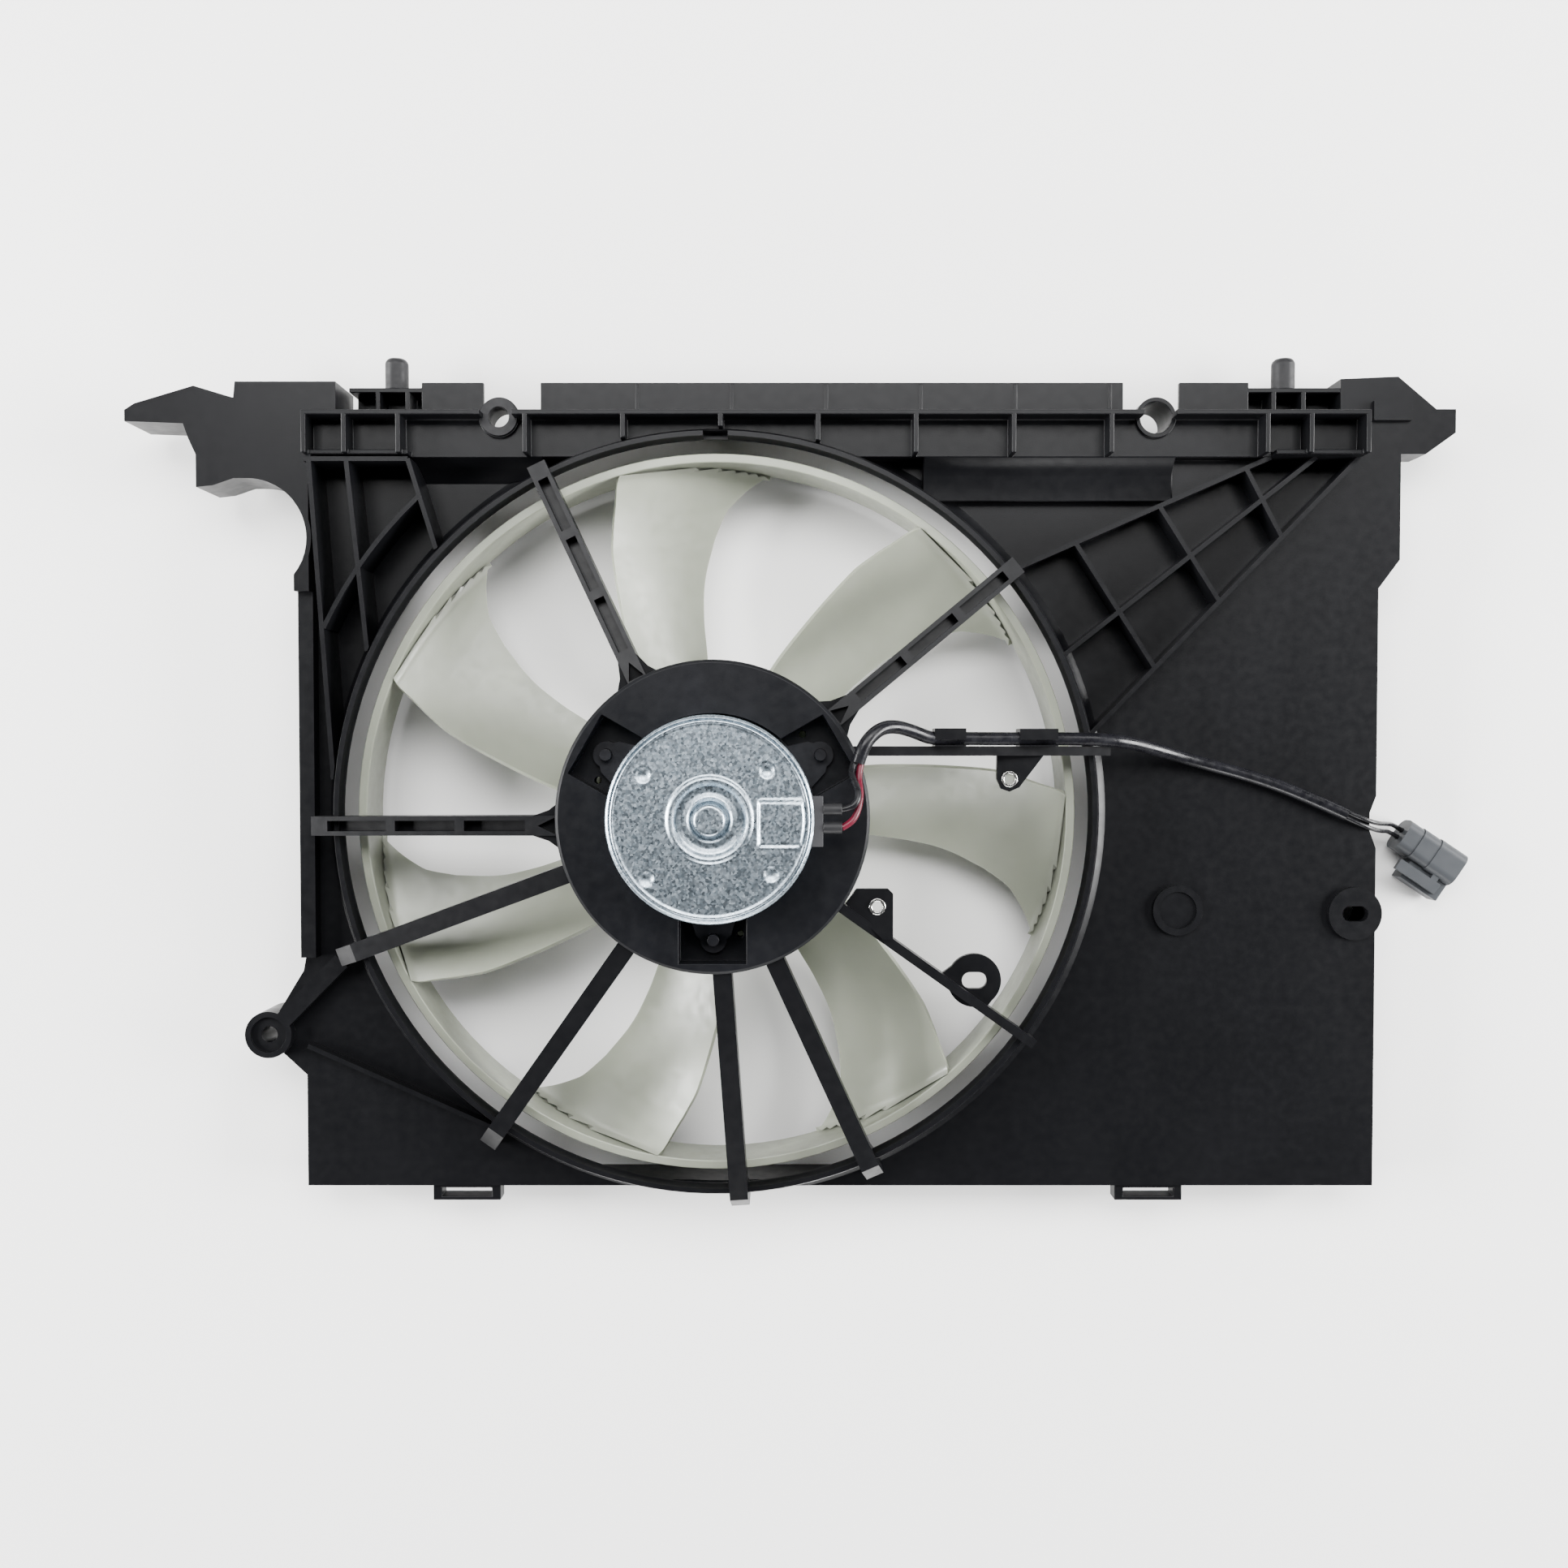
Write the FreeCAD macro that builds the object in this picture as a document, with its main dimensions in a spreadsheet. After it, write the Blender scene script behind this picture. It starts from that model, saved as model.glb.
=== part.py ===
import FreeCAD, Part
import math
import os
import re

import Sketcher

# Radiator fan: a moulded shroud with nine stator spokes, a ring fan, a flat motor and its harness.
# Millimetres. The fan axis is the Z axis and the shroud's radiator side rests on Z = 0. The motor side
# looks up, X runs along the top rail and Y points from the bottom edge to the rail.

Vector = FreeCAD.Vector
DOC = FreeCAD.newDocument("RadiatorFan")
SHEET = DOC.addObject("Spreadsheet::Sheet", "Sizes")

SIZES = {
    # Barrel round the fan, which the shroud's other sizes follow
    "wall": 2.5,
    "barrel_outer": 202.0,
    "barrel_wall": 2.0,
    "barrel_inner": "=barrel_outer - barrel_wall",
    "barrel_top": 55.0,
    "barrel_low": 40.0,
    "flare_outer": "=barrel_outer + 8",
    "lip_inner": "=barrel_outer - 5.4",
    "lip_low": 47.5,
    "lip_high": 50.0,
    "rim_outer": "=barrel_outer - 1.9",
    "rim_inner": "=rim_outer - wall",
    "rim_notch_half": 6.5,
    # Plenum body
    "left_edge": "=-barrel_outer - 22",
    "right_flange": "=barrel_outer + 155",
    "right_wall": "=right_flange - 3.7",
    "bottom_edge": "=-barrel_outer - 2",
    "panel_top": 30.0,
    "notch_depth": 3.5,
    "notch_low": -19.5,
    "notch_high": 9.0,
    "notch_slant": 9.5,
    "corner_flange": "=right_flange + 11.4",
    "corner_low": "=rail_high - 74.2",
    "corner_slant": 15.5,
    "left_lip_width": 8.0,
    "left_lip_top": 38.0,
    "left_lip_low": -78.0,
    "left_lip_high": 118.0,
    "rib_thick": 2.4,
    # Top rail
    "rail_low": "=barrel_outer - 13.5",
    "rail_high": "=rail_low + 22.2",
    "rail_left": "=left_edge + 8.5",
    "rail_right": "=right_wall - 12.1",
    "rail_floor": 44.0,
    "rail_top": 56.0,
    "rail_rib_first": -99.1,
    "rail_rib_pitch": 50.9,
    "rail_rib_count": 7,
    "rail_web": 10.0,
    "bolt_left": "=rail_left + 101.2",
    "bolt_right": "=rail_right - 109.4",
    "bolt_line": "=rail_high - 1.8",
    "bolt_hole_radius": 8.4,
    "bolt_collar_wall": 2.2,
    "bolt_collar_low": 18.0,
    # Raised shelf below the rail
    "shelf_low": "=rail_low - 21.8",
    "shelf_top": 37.0,
    "shelf_left": 110.0,
    "shelf_right": "=rail_right - 98.2",
    "ramp_run": 9.0,
    "ramp_left_start": "=left_rib_near - 0.9",
    "ramp_left_end": "=left_rib_near + 69.1",
    # Ribs between rail and barrel on the right
    "tri_rib_top": 44.0,
    "tri_rail_inner": "=rail_right - 48",
    "tri_rail_middle": "=rail_right - 23.9",
    "tri_angle_inner": 39.5,
    "tri_angle_middle": 24.5,
    "tri_angle_outer": 11.8,
    # Ribs between rail and barrel on the left
    "left_rib_top": 52.0,
    "left_rib_line": "=rail_low - 2.5",
    "left_rib_far": "=rail_left + 22.2",
    "left_rib_near": "=rail_left + 54.4",
    "left_rib_near_top": "=rail_left + 50.4",
    "left_angle_far": 154.9,
    "left_angle_near": 136.5,
    "left_angle_edge": 174.8,
    "arc_rib_radius": "=barrel_outer + 25.8",
    "arc_rib_start": 133.0,
    "arc_rib_end": 154.6,
    # Bosses and lugs on the panel
    "blind_boss_x": "=barrel_outer + 47.3",
    "blind_boss_y": -53.2,
    "blind_boss_radius": 13.6,
    "slot_boss_x": "=right_flange - 11.6",
    "slot_boss_y": -55.0,
    "slot_boss_radius": 14.4,
    "slot_length": 14.0,
    "slot_width": 8.3,
    "boss_height": 2.4,
    "lug_x": "=left_edge - 18.9",
    "lug_y": "=bottom_edge + 83.8",
    "lug_radius": 12.6,
    "lug_hole_radius": 4.4,
    "lug_top": 36.0,
    "lug_low": 8.0,
    "brace_width": 9.0,
    "foot_rib_angle": -125.3,
    "foot_rib_gap": 7.5,
    # Bottom loops
    "loop_left": -156.3,
    "loop_right": 216.8,
    "loop_length": 36.9,
    "loop_reach": 8.8,
    "loop_bar": 2.2,
    "loop_post": 4.8,
    "loop_high": 28.0,
    "loop_low": 18.0,
    # Left and right brackets, the upper tabs and the guide pins
    "left_bracket_top": 44.0,
    "left_bracket_low": 14.0,
    "bracket_wall": 3.0,
    "bite_x": "=left_edge - 24.3",
    "bite_y": "=rail_high - 64.4",
    "bite_radius": 31.2,
    "right_bracket_low": 10.0,
    "right_pad_height": 3.0,
    "tab_thick": 3.0,
    "tab_high": "=rail_high + 20.8",
    "tab_rib_first": -43.3,
    "pin_left": "=rail_left + 40.5",
    "pin_right": "=rail_right - 33.6",
    "pin_radius": 6.2,
    "pin_tip": "=holder_high + 17.7",
    "pin_cone": 2.0,
    "pin_height": 21.0,
    "holder_high": "=rail_high + 17.9",
    "holder_low": 12.0,
    "web_spread": 8.0,
    # Stator
    "ring_inner": "=can_radius + 1.2",
    "ring_outer": "=ring_inner + 26.9",
    "ring_top": 88.0,
    "ring_low": 68.0,
    "ear_floor": 76.0,
    "pocket_width": 34.0,
    "pocket_reach": "=ear_radius + 11",
    "drain_place": "=ring_inner + 8",
    "drain_side": 13.5,
    "drain_radius": 1.8,
    "spoke_root": "=ring_inner + 16",
    "spoke_root_top": 86.0,
    "spoke_root_low": 72.0,
    "spoke_end": "=barrel_outer + 2",
    "spoke_tip_top": 58.0,
    "spoke_tip_low": 46.0,
    "slot_spoke_width": 10.0,
    "slot_spoke_wall": 2.3,
    "slot_depth": 6.0,
    "slot_web": 5.0,
    "round_spoke_width": 9.6,
    "thin_spoke_width": 4.8,
    "flare_width": 26.0,
    "flare_end": "=ring_outer + 12.1",
    "well_half": 4.2,
    "side_spoke_offset": 33.2,
    "tab_plate": 3.0,
    "side_tab_x": 152.3,
    "side_tab_y": 18.7,
    "side_tab_top": 64.0,
    "corner_tab_x": 83.0,
    "corner_tab_y": -45.5,
    "corner_tab_top": 80.0,
    "loop_ear_x": 134.8,
    "loop_ear_y": -86.1,
    "loop_ear_top": 62.0,
    "loop_ear_radius": 13.9,
    "loop_slot_half": 2.2,
    "loop_slot_radius": 4.3,
    "insert_outer": 4.2,
    "insert_bore": 2.7,
    # Fan
    "fan_ring_inner": "=barrel_inner - 14.5",
    "fan_ring_wall": 2.2,
    "fan_ring_low": 17.0,
    "fan_ring_high": 45.5,
    "fan_flange_outer": "=fan_ring_inner + 4.6",
    "fan_flange_thick": 2.4,
    "hub_radius": "=can_radius + 18.2",
    "hub_wall": 3.0,
    "hub_face": 15.0,
    "hub_high": 54.0,
    "hub_boss_radius": 15.0,
    "hub_boss_high": 46.0,
    "hub_rib_count": 12,
    "blade_count": 7,
    "blade_thick": 2.4,
    "blade_turn": -2.5,
    "blade_low": 20.0,
    "blade_high": 44.0,
    "blade_sag": 3.5,
    # Motor
    "can_radius": 50.8,
    "can_wall": 2.2,
    "can_low": 60.0,
    "can_high": 108.0,
    "can_boss_radius": 14.0,
    "can_boss_low": 52.0,
    "plate_high": 112.0,
    "plate_ridge_radius": 19.5,
    "plate_ridge_half": 2.0,
    "rear_boss_radius": 7.6,
    "rear_boss_high": 118.0,
    "hump_start": 23.2,
    "hump_height": 1.6,
    "ear_radius": "=can_radius + 11.7",
    "ear_thick": 3.0,
    "ear_tip": 6.8,
    "shaft_radius": 4.0,
    "shaft_low": 5.0,
    "shaft_gap": 0.04,
    "bearing_outer": 11.0,
    "bearing_height": 7.0,
    "magnet_inner": "=can_radius - 13.3",
    "magnet_low": 70.0,
    "magnet_high": 100.0,
    "magnet_span": 76.0,
    "core_radius": "=magnet_inner - 1",
    "core_low": 71.0,
    "core_high": 89.0,
    "winding_radius": "=core_radius - 4.5",
    "winding_height": 5.0,
    "commutator_radius": 12.5,
    "brush_width": 6.0,
    "brush_length": 13.7,
    "brush_gap": 0.3,
    "holder_thick": 3.0,
    "choke_radius": 4.2,
    "choke_place": "=can_radius - 10.8",
    "screw_radius": 3.0,
    "screw_head_radius": 5.5,
    "screw_head_height": 4.0,
    "nut_radius": 6.5,
    "nut_height": 6.5,
    # Terminal block and its boots
    "terminal_low": -13.0,
    "terminal_high": 11.5,
    "terminal_inset": 4.5,
    "terminal_reach": 3.9,
    "boot_radius": 2.9,
    "boot_end": "=can_radius + 13",
    "boot_height": 109.3,
    "boot_low": -3.8,
    "boot_high": 5.0,
    # Harness and its connector
    "wire_radius": 1.65,
    "pair_radius": 1.25,
    "sleeve_radius": 3.4,
    "clip_wall": 1.8,
    "clip_reach": 11.4,
    "connector_x": "=right_flange + 28.1",
    "connector_y": -4.7,
    "connector_length": 36.7,
    "connector_width": 19.9,
    "connector_height": 17.0,
    "connector_wall": 1.8,
    "connector_round": 5.5,
    "connector_turn": -33.8,
    "connector_rear_end": 11.0,
    "connector_middle_end": 21.0,
    "connector_floor": 22.0,
    "lock_start": 12.5,
    "lock_width": 10.4,
    "wire_spacing": 4.4,
}

for row, alias in enumerate(SIZES, start=1):
    SHEET.set(f"A{row}", alias)
    SHEET.setAlias(f"B{row}", alias)
for row, number in enumerate(SIZES.values(), start=1):
    SHEET.set(f"B{row}", str(number))
DOC.recompute()

NODES = []


def bound(text):
    """Expression text in which each size name points at its cell."""
    def cell(word):
        return "Sizes." + word.group() if word.group() in SIZES else word.group()
    return re.sub(r"[a-z][a-z_]*", cell, str(text))


def size(text):
    """Number that an expression of sizes gives now."""
    result = SHEET.evalExpression(bound(text))
    return float(getattr(result, "Value", result))


def bind(item, **properties):
    """Bind properties, whose dots are written as double underscores, to expressions."""
    for name, text in properties.items():
        item.setExpression(name.replace("__", "."), bound(text))
    return item


def node(item, label):
    """Name a finished sub-part and keep it for writing."""
    item.Label = label
    NODES.append(item)
    return item


def place(item, x="0", y="0", z="0", turn="0"):
    """Place an item at x, y, z after turning both it and that point about the fan axis."""
    item.Placement = FreeCAD.Placement(Vector(), FreeCAD.Rotation(Vector(0, 0, 1), 1))
    bind(
        item,
        Placement__Base__x=f"({x}) * cos({turn}) - ({y}) * sin({turn})",
        Placement__Base__y=f"({x}) * sin({turn}) + ({y}) * cos({turn})",
        Placement__Base__z=z,
        Placement__Rotation__Angle=turn,
    )
    return item


def block(name, x, y, z, turn="0"):
    """Box between pairs of bounds along X, Y and Z, turned about the fan axis."""
    item = DOC.addObject("Part::Box", name)
    bind(
        item,
        Length=f"({x[1]}) - ({x[0]})",
        Width=f"({y[1]}) - ({y[0]})",
        Height=f"({z[1]}) - ({z[0]})",
    )
    return place(item, x[0], y[0], z[0], turn)


def rod(name, x, y, z, radius, turn="0"):
    """Upright cylinder between two heights."""
    item = DOC.addObject("Part::Cylinder", name)
    bind(item, Radius=radius, Height=f"({z[1]}) - ({z[0]})")
    return place(item, x, y, z[0], turn)


def draw(sketch, points):
    """Draw a closed outline whose every corner is bound to its own two expressions."""
    spots = [Vector(size(x), size(y), 0) for x, y in points]
    for index, spot in enumerate(spots):
        sketch.addGeometry(Part.LineSegment(spot, spots[(index + 1) % len(spots)]))
    for index in range(len(spots)):
        sketch.addConstraint(Sketcher.Constraint("Coincident", index, 2, (index + 1) % len(spots), 1))
    for index, (x, y) in enumerate(points):
        for kind, text in (("DistanceX", x), ("DistanceY", y)):
            mark = sketch.addConstraint(Sketcher.Constraint(kind, -1, 1, index, 1, size(text)))
            sketch.setExpression(f"Constraints[{mark}]", bound(text))
    return sketch


def prism(name, points, z):
    """Straight solid over an outline in the XY plane."""
    sketch = draw(DOC.addObject("Sketcher::SketchObject", name + "_outline"), points)
    bind(sketch, Placement__Base__z=z[0])
    item = DOC.addObject("Part::Extrusion", name)
    item.Base = sketch
    item.DirMode = "Custom"
    item.Dir = Vector(0, 0, 1)
    item.Solid = True
    return bind(item, LengthFwd=f"({z[1]}) - ({z[0]})")


def upright(name, points, across, turn="0"):
    """Solid whose outline lies in the XZ plane and which spans a stretch of Y, then turned."""
    sketch = draw(DOC.addObject("Sketcher::SketchObject", name + "_outline"), points)
    sketch.Placement.Rotation = FreeCAD.Rotation(Vector(1, 0, 0), 90)
    bind(sketch, Placement__Base__y=across[0])
    item = DOC.addObject("Part::Extrusion", name)
    item.Base = sketch
    item.DirMode = "Custom"
    item.Dir = Vector(0, 1, 0)
    item.Solid = True
    bind(item, LengthFwd=f"({across[1]}) - ({across[0]})")
    return place(item, turn=turn)


def upright_x(name, points, across):
    """Solid whose outline lies in the YZ plane and which spans a stretch of X."""
    sketch = draw(DOC.addObject("Sketcher::SketchObject", name + "_outline"), points)
    sketch.Placement.Rotation = FreeCAD.Rotation(Vector(1, 1, 1), 120)
    bind(sketch, Placement__Base__x=across[0])
    item = DOC.addObject("Part::Extrusion", name)
    item.Base = sketch
    item.DirMode = "Custom"
    item.Dir = Vector(1, 0, 0)
    item.Solid = True
    return bind(item, LengthFwd=f"({across[1]}) - ({across[0]})")


def turned(name, points):
    """Body of revolution about the fan axis from an outline of radius and height."""
    body = DOC.addObject("PartDesign::Body", name)
    sketch = body.newObject("Sketcher::SketchObject", name + "_profile")
    plane = next(item for item in body.Origin.OriginFeatures if item.Role == "XZ_Plane")
    sketch.AttachmentSupport = (plane, [""])
    sketch.MapMode = "FlatFace"
    draw(sketch, points)
    feature = body.newObject("PartDesign::Revolution", name + "_revolution")
    feature.Profile = sketch
    feature.ReferenceAxis = (sketch, ["V_Axis"])
    feature.Angle = 360
    return body


def fuse(name, parts):
    """One shape from several."""
    if len(parts) == 1:
        return parts[0]
    item = DOC.addObject("Part::MultiFuse", name)
    item.Shapes = parts
    item.Refine = True
    return item


def cut(name, base, tools):
    """Base without its tools."""
    item = DOC.addObject("Part::Cut", name)
    item.Base = base
    item.Tool = fuse(name + "_tools", tools)
    item.Refine = True
    return item


def common(name, base, tool):
    """What two shapes share."""
    item = DOC.addObject("Part::Common", name)
    item.Base = base
    item.Tool = tool
    item.Refine = True
    return item


def shaped(name, shape):
    """Feature that holds a shape worked out from the sizes."""
    item = DOC.addObject("Part::Feature", name)
    item.Shape = shape
    return item


def rib(name, start, end, z, thick="rib_thick"):
    """Upright rib between two points of the plan."""
    (x0, y0), (x1, y1) = start, end
    item = DOC.addObject("Part::Box", name)
    run = f"sqrt((({x1}) - ({x0}))^2 + (({y1}) - ({y0}))^2)"
    item.Placement = FreeCAD.Placement(Vector(), FreeCAD.Rotation(Vector(0, 0, 1), 1))
    bind(
        item,
        Length=run,
        Width=thick,
        Height=f"({z[1]}) - ({z[0]})",
        Placement__Base__x=f"({x0}) + (({y1}) - ({y0})) / {run} * {thick} / 2",
        Placement__Base__y=f"({y0}) - (({x1}) - ({x0})) / {run} * {thick} / 2",
        Placement__Base__z=z[0],
        Placement__Rotation__Angle=f"atan2(({y1}) - ({y0}); ({x1}) - ({x0}))",
    )
    return item


def on_barrel(angle, radius="barrel_outer"):
    """Point of the plan at an angle round the fan axis."""
    return f"({radius}) * cos({angle})", f"({radius}) * sin({angle})"


def along(start, end, share):
    """Point of the plan part of the way from one point to another."""
    return tuple(f"({a}) + (({b}) - ({a})) * {share}" for a, b in zip(start, end))


# Outside of the barrel's foot, which flares into the panel: distance out from the barrel, height over the panel.
FLARE = (
    (8, 0),
    (4.2, 1.4),
    (1.4, 4.4),
    (0.3, 8),
)


def build_barrel():
    """Barrel that flares into the panel, with its inward lip, raised rim and the notch at the top."""
    outside = [(f"barrel_outer + {out}", f"panel_top + {up}") for out, up in FLARE]
    inside = [(f"barrel_outer + {out} - 1.2", f"panel_top + {up} - barrel_wall - 0.4") for out, up in FLARE[1:]]
    wall = turned("barrel_wall_form", [
        ("flare_outer", "panel_top - wall"),
        *outside,
        ("barrel_outer", "barrel_low"),
        ("barrel_outer", "lip_high"),
        ("rim_outer", "barrel_top"),
        ("rim_inner", "barrel_top"),
        ("lip_inner", "lip_high"),
        ("lip_inner", "lip_low"),
        ("barrel_inner", "lip_low - 2"),
        ("barrel_inner", "barrel_low"),
        *reversed(inside),
    ])
    notch = block(
        "rim_notch",
        ("-rim_notch_half", "rim_notch_half"),
        ("lip_inner - 5", "barrel_outer - 2"),
        ("lip_high - 1", "barrel_top + 1"),
    )
    below = block(
        "barrel_below_edge", ("-barrel_outer", "barrel_outer"), ("-flare_outer - 1", "bottom_edge"),
        ("0", "barrel_top + 1"),
    )
    return node(cut("barrel_form", wall, [notch, below]), "fan_barrel")


def barrel_core(name):
    """Everything inside the barrel's outside, for trimming its neighbours: two shapes."""
    outside = [(f"barrel_outer + {out}", f"panel_top + {up}") for out, up in FLARE]
    above = turned(name + "_above", [
        ("0", "panel_top - wall"),
        ("flare_outer", "panel_top - wall"),
        *outside,
        ("barrel_outer", "barrel_low"),
        ("barrel_outer", "rail_top + 20"),
        ("0", "rail_top + 20"),
    ])
    return [rod(name, "0", "0", ("-1", "panel_top"), "barrel_outer"), above]


def panel_plate():
    """Plate with the right-hand flange, its notch and its wider upper corner."""
    return prism("panel_plate", [
        ("left_edge", "bottom_edge"),
        ("right_flange", "bottom_edge"),
        ("right_flange", "notch_low"),
        ("right_flange - notch_depth", "notch_low + notch_slant"),
        ("right_flange - notch_depth", "notch_high - notch_slant"),
        ("right_flange", "notch_high"),
        ("right_flange", "corner_low - corner_slant"),
        ("corner_flange", "corner_low"),
        ("corner_flange", "rail_high"),
        ("left_edge", "rail_high"),
    ], ("panel_top - wall", "panel_top"))


def panel_ribs():
    """Ribs that run from the rail to the barrel, and the curved rib on the left."""
    low = "panel_top"
    inner_start = on_barrel("tri_angle_inner")
    inner_end = ("tri_rail_inner", "rail_low")
    outer_start = on_barrel("tri_angle_outer")
    outer_end = ("rail_right - 1", "rail_low")
    middle_end = ("tri_rail_middle", "rail_low")
    tri = (low, "tri_rib_top")
    ribs = [
        rib("tri_rib_inner", inner_start, inner_end, tri),
        rib("tri_rib_middle", on_barrel("tri_angle_middle"), middle_end, tri),
        rib("tri_rib_outer", outer_start, outer_end, tri),
    ]
    for index, (near, far) in enumerate(((0.25, 0.245), (0.573, 0.484), (0.905, 0.714))):
        start = along(inner_start, inner_end, near)
        end = along(outer_start, outer_end, far)
        ribs.append(rib(f"tri_cross_{index}", start, end, tri))
    left = (low, "left_rib_top")
    far_corner = ("left_rib_far", "left_rib_line")
    near_corner = ("left_rib_near", "left_rib_line")
    ribs += [
        rib("left_rib_far_run", far_corner, on_barrel("left_angle_far"), left),
        rib("left_rib_near_run", near_corner, on_barrel("left_angle_near"), left),
        rib("left_rib_edge", ("rail_left + wall", "rail_low"), on_barrel("left_angle_edge"), left),
        rib("left_rib_cross", ("rail_left", "left_rib_line"), near_corner, left),
    ]
    outside = rod("arc_rib_outside", "0", "0", left, "arc_rib_radius + rib_thick / 2")
    inside = rod("arc_rib_inside", "0", "0", left, "arc_rib_radius - rib_thick / 2")
    ring = cut("arc_rib_ring", outside, [inside])
    sector = prism("arc_rib_sector", [
        ("0", "0"),
        on_barrel("arc_rib_start", "arc_rib_radius * 1.2"),
        on_barrel("arc_rib_end", "arc_rib_radius * 1.2"),
    ], left)
    ribs.append(common("arc_rib", ring, sector))
    foot_end = on_barrel("foot_rib_angle", "barrel_outer + foot_rib_gap")
    ribs.append(rib("foot_rib", ("left_edge + wall", "lug_y - 6"), foot_end, (low, "lug_top")))
    return ribs


def panel_lugs():
    """Bosses on the panel, the corner lug with its arm, and the raised lip on the left edge."""
    top = "panel_top + boss_height"
    blind = rod("blind_boss", "blind_boss_x", "blind_boss_y", ("panel_top", top), "blind_boss_radius")
    slotted = rod("slot_boss", "slot_boss_x", "slot_boss_y", ("panel_top - wall", top), "slot_boss_radius")
    lug = rod("lug_post", "lug_x", "lug_y", ("lug_low", "lug_top"), "lug_radius")
    arm = prism("corner_arm", [
        ("left_edge", "lug_y - 23"),
        ("left_edge", "lug_y + 42"),
        ("left_edge - 1.5", "lug_y + 34"),
        ("lug_x + 4", "lug_y + 12"),
        ("lug_x + 6", "lug_y - 11"),
    ], ("lug_low", "panel_top"))
    brace_end = ("left_edge + 21", "lug_y + 40.2")
    brace = rib("arm_brace", ("lug_x + 8", "lug_y + 8"), brace_end, ("panel_top", "lug_top"), "brace_width")
    lip_x = ("left_edge", "left_edge + left_lip_width")
    lip = block("left_lip", lip_x, ("left_lip_low", "left_lip_high"), ("panel_top", "left_lip_top"))
    shoulder = block(
        "left_shoulder", lip_x, ("left_lip_high", "rail_high"), ("panel_top", "left_bracket_top"),
    )
    return [blind, slotted, lug, arm, brace, lip, shoulder]


def bolt_zones(name, z):
    """Square columns round the two bolt holes, which the collars' own piece fills."""
    half = "bolt_hole_radius + bolt_collar_wall + 1"
    return [
        block(f"{name}_{bolt}", (f"{bolt} - ({half})", f"{bolt} + {half}"),
              (f"bolt_line - ({half})", f"bolt_line + {half}"), z)
        for bolt in ("bolt_left", "bolt_right")
    ]


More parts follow.
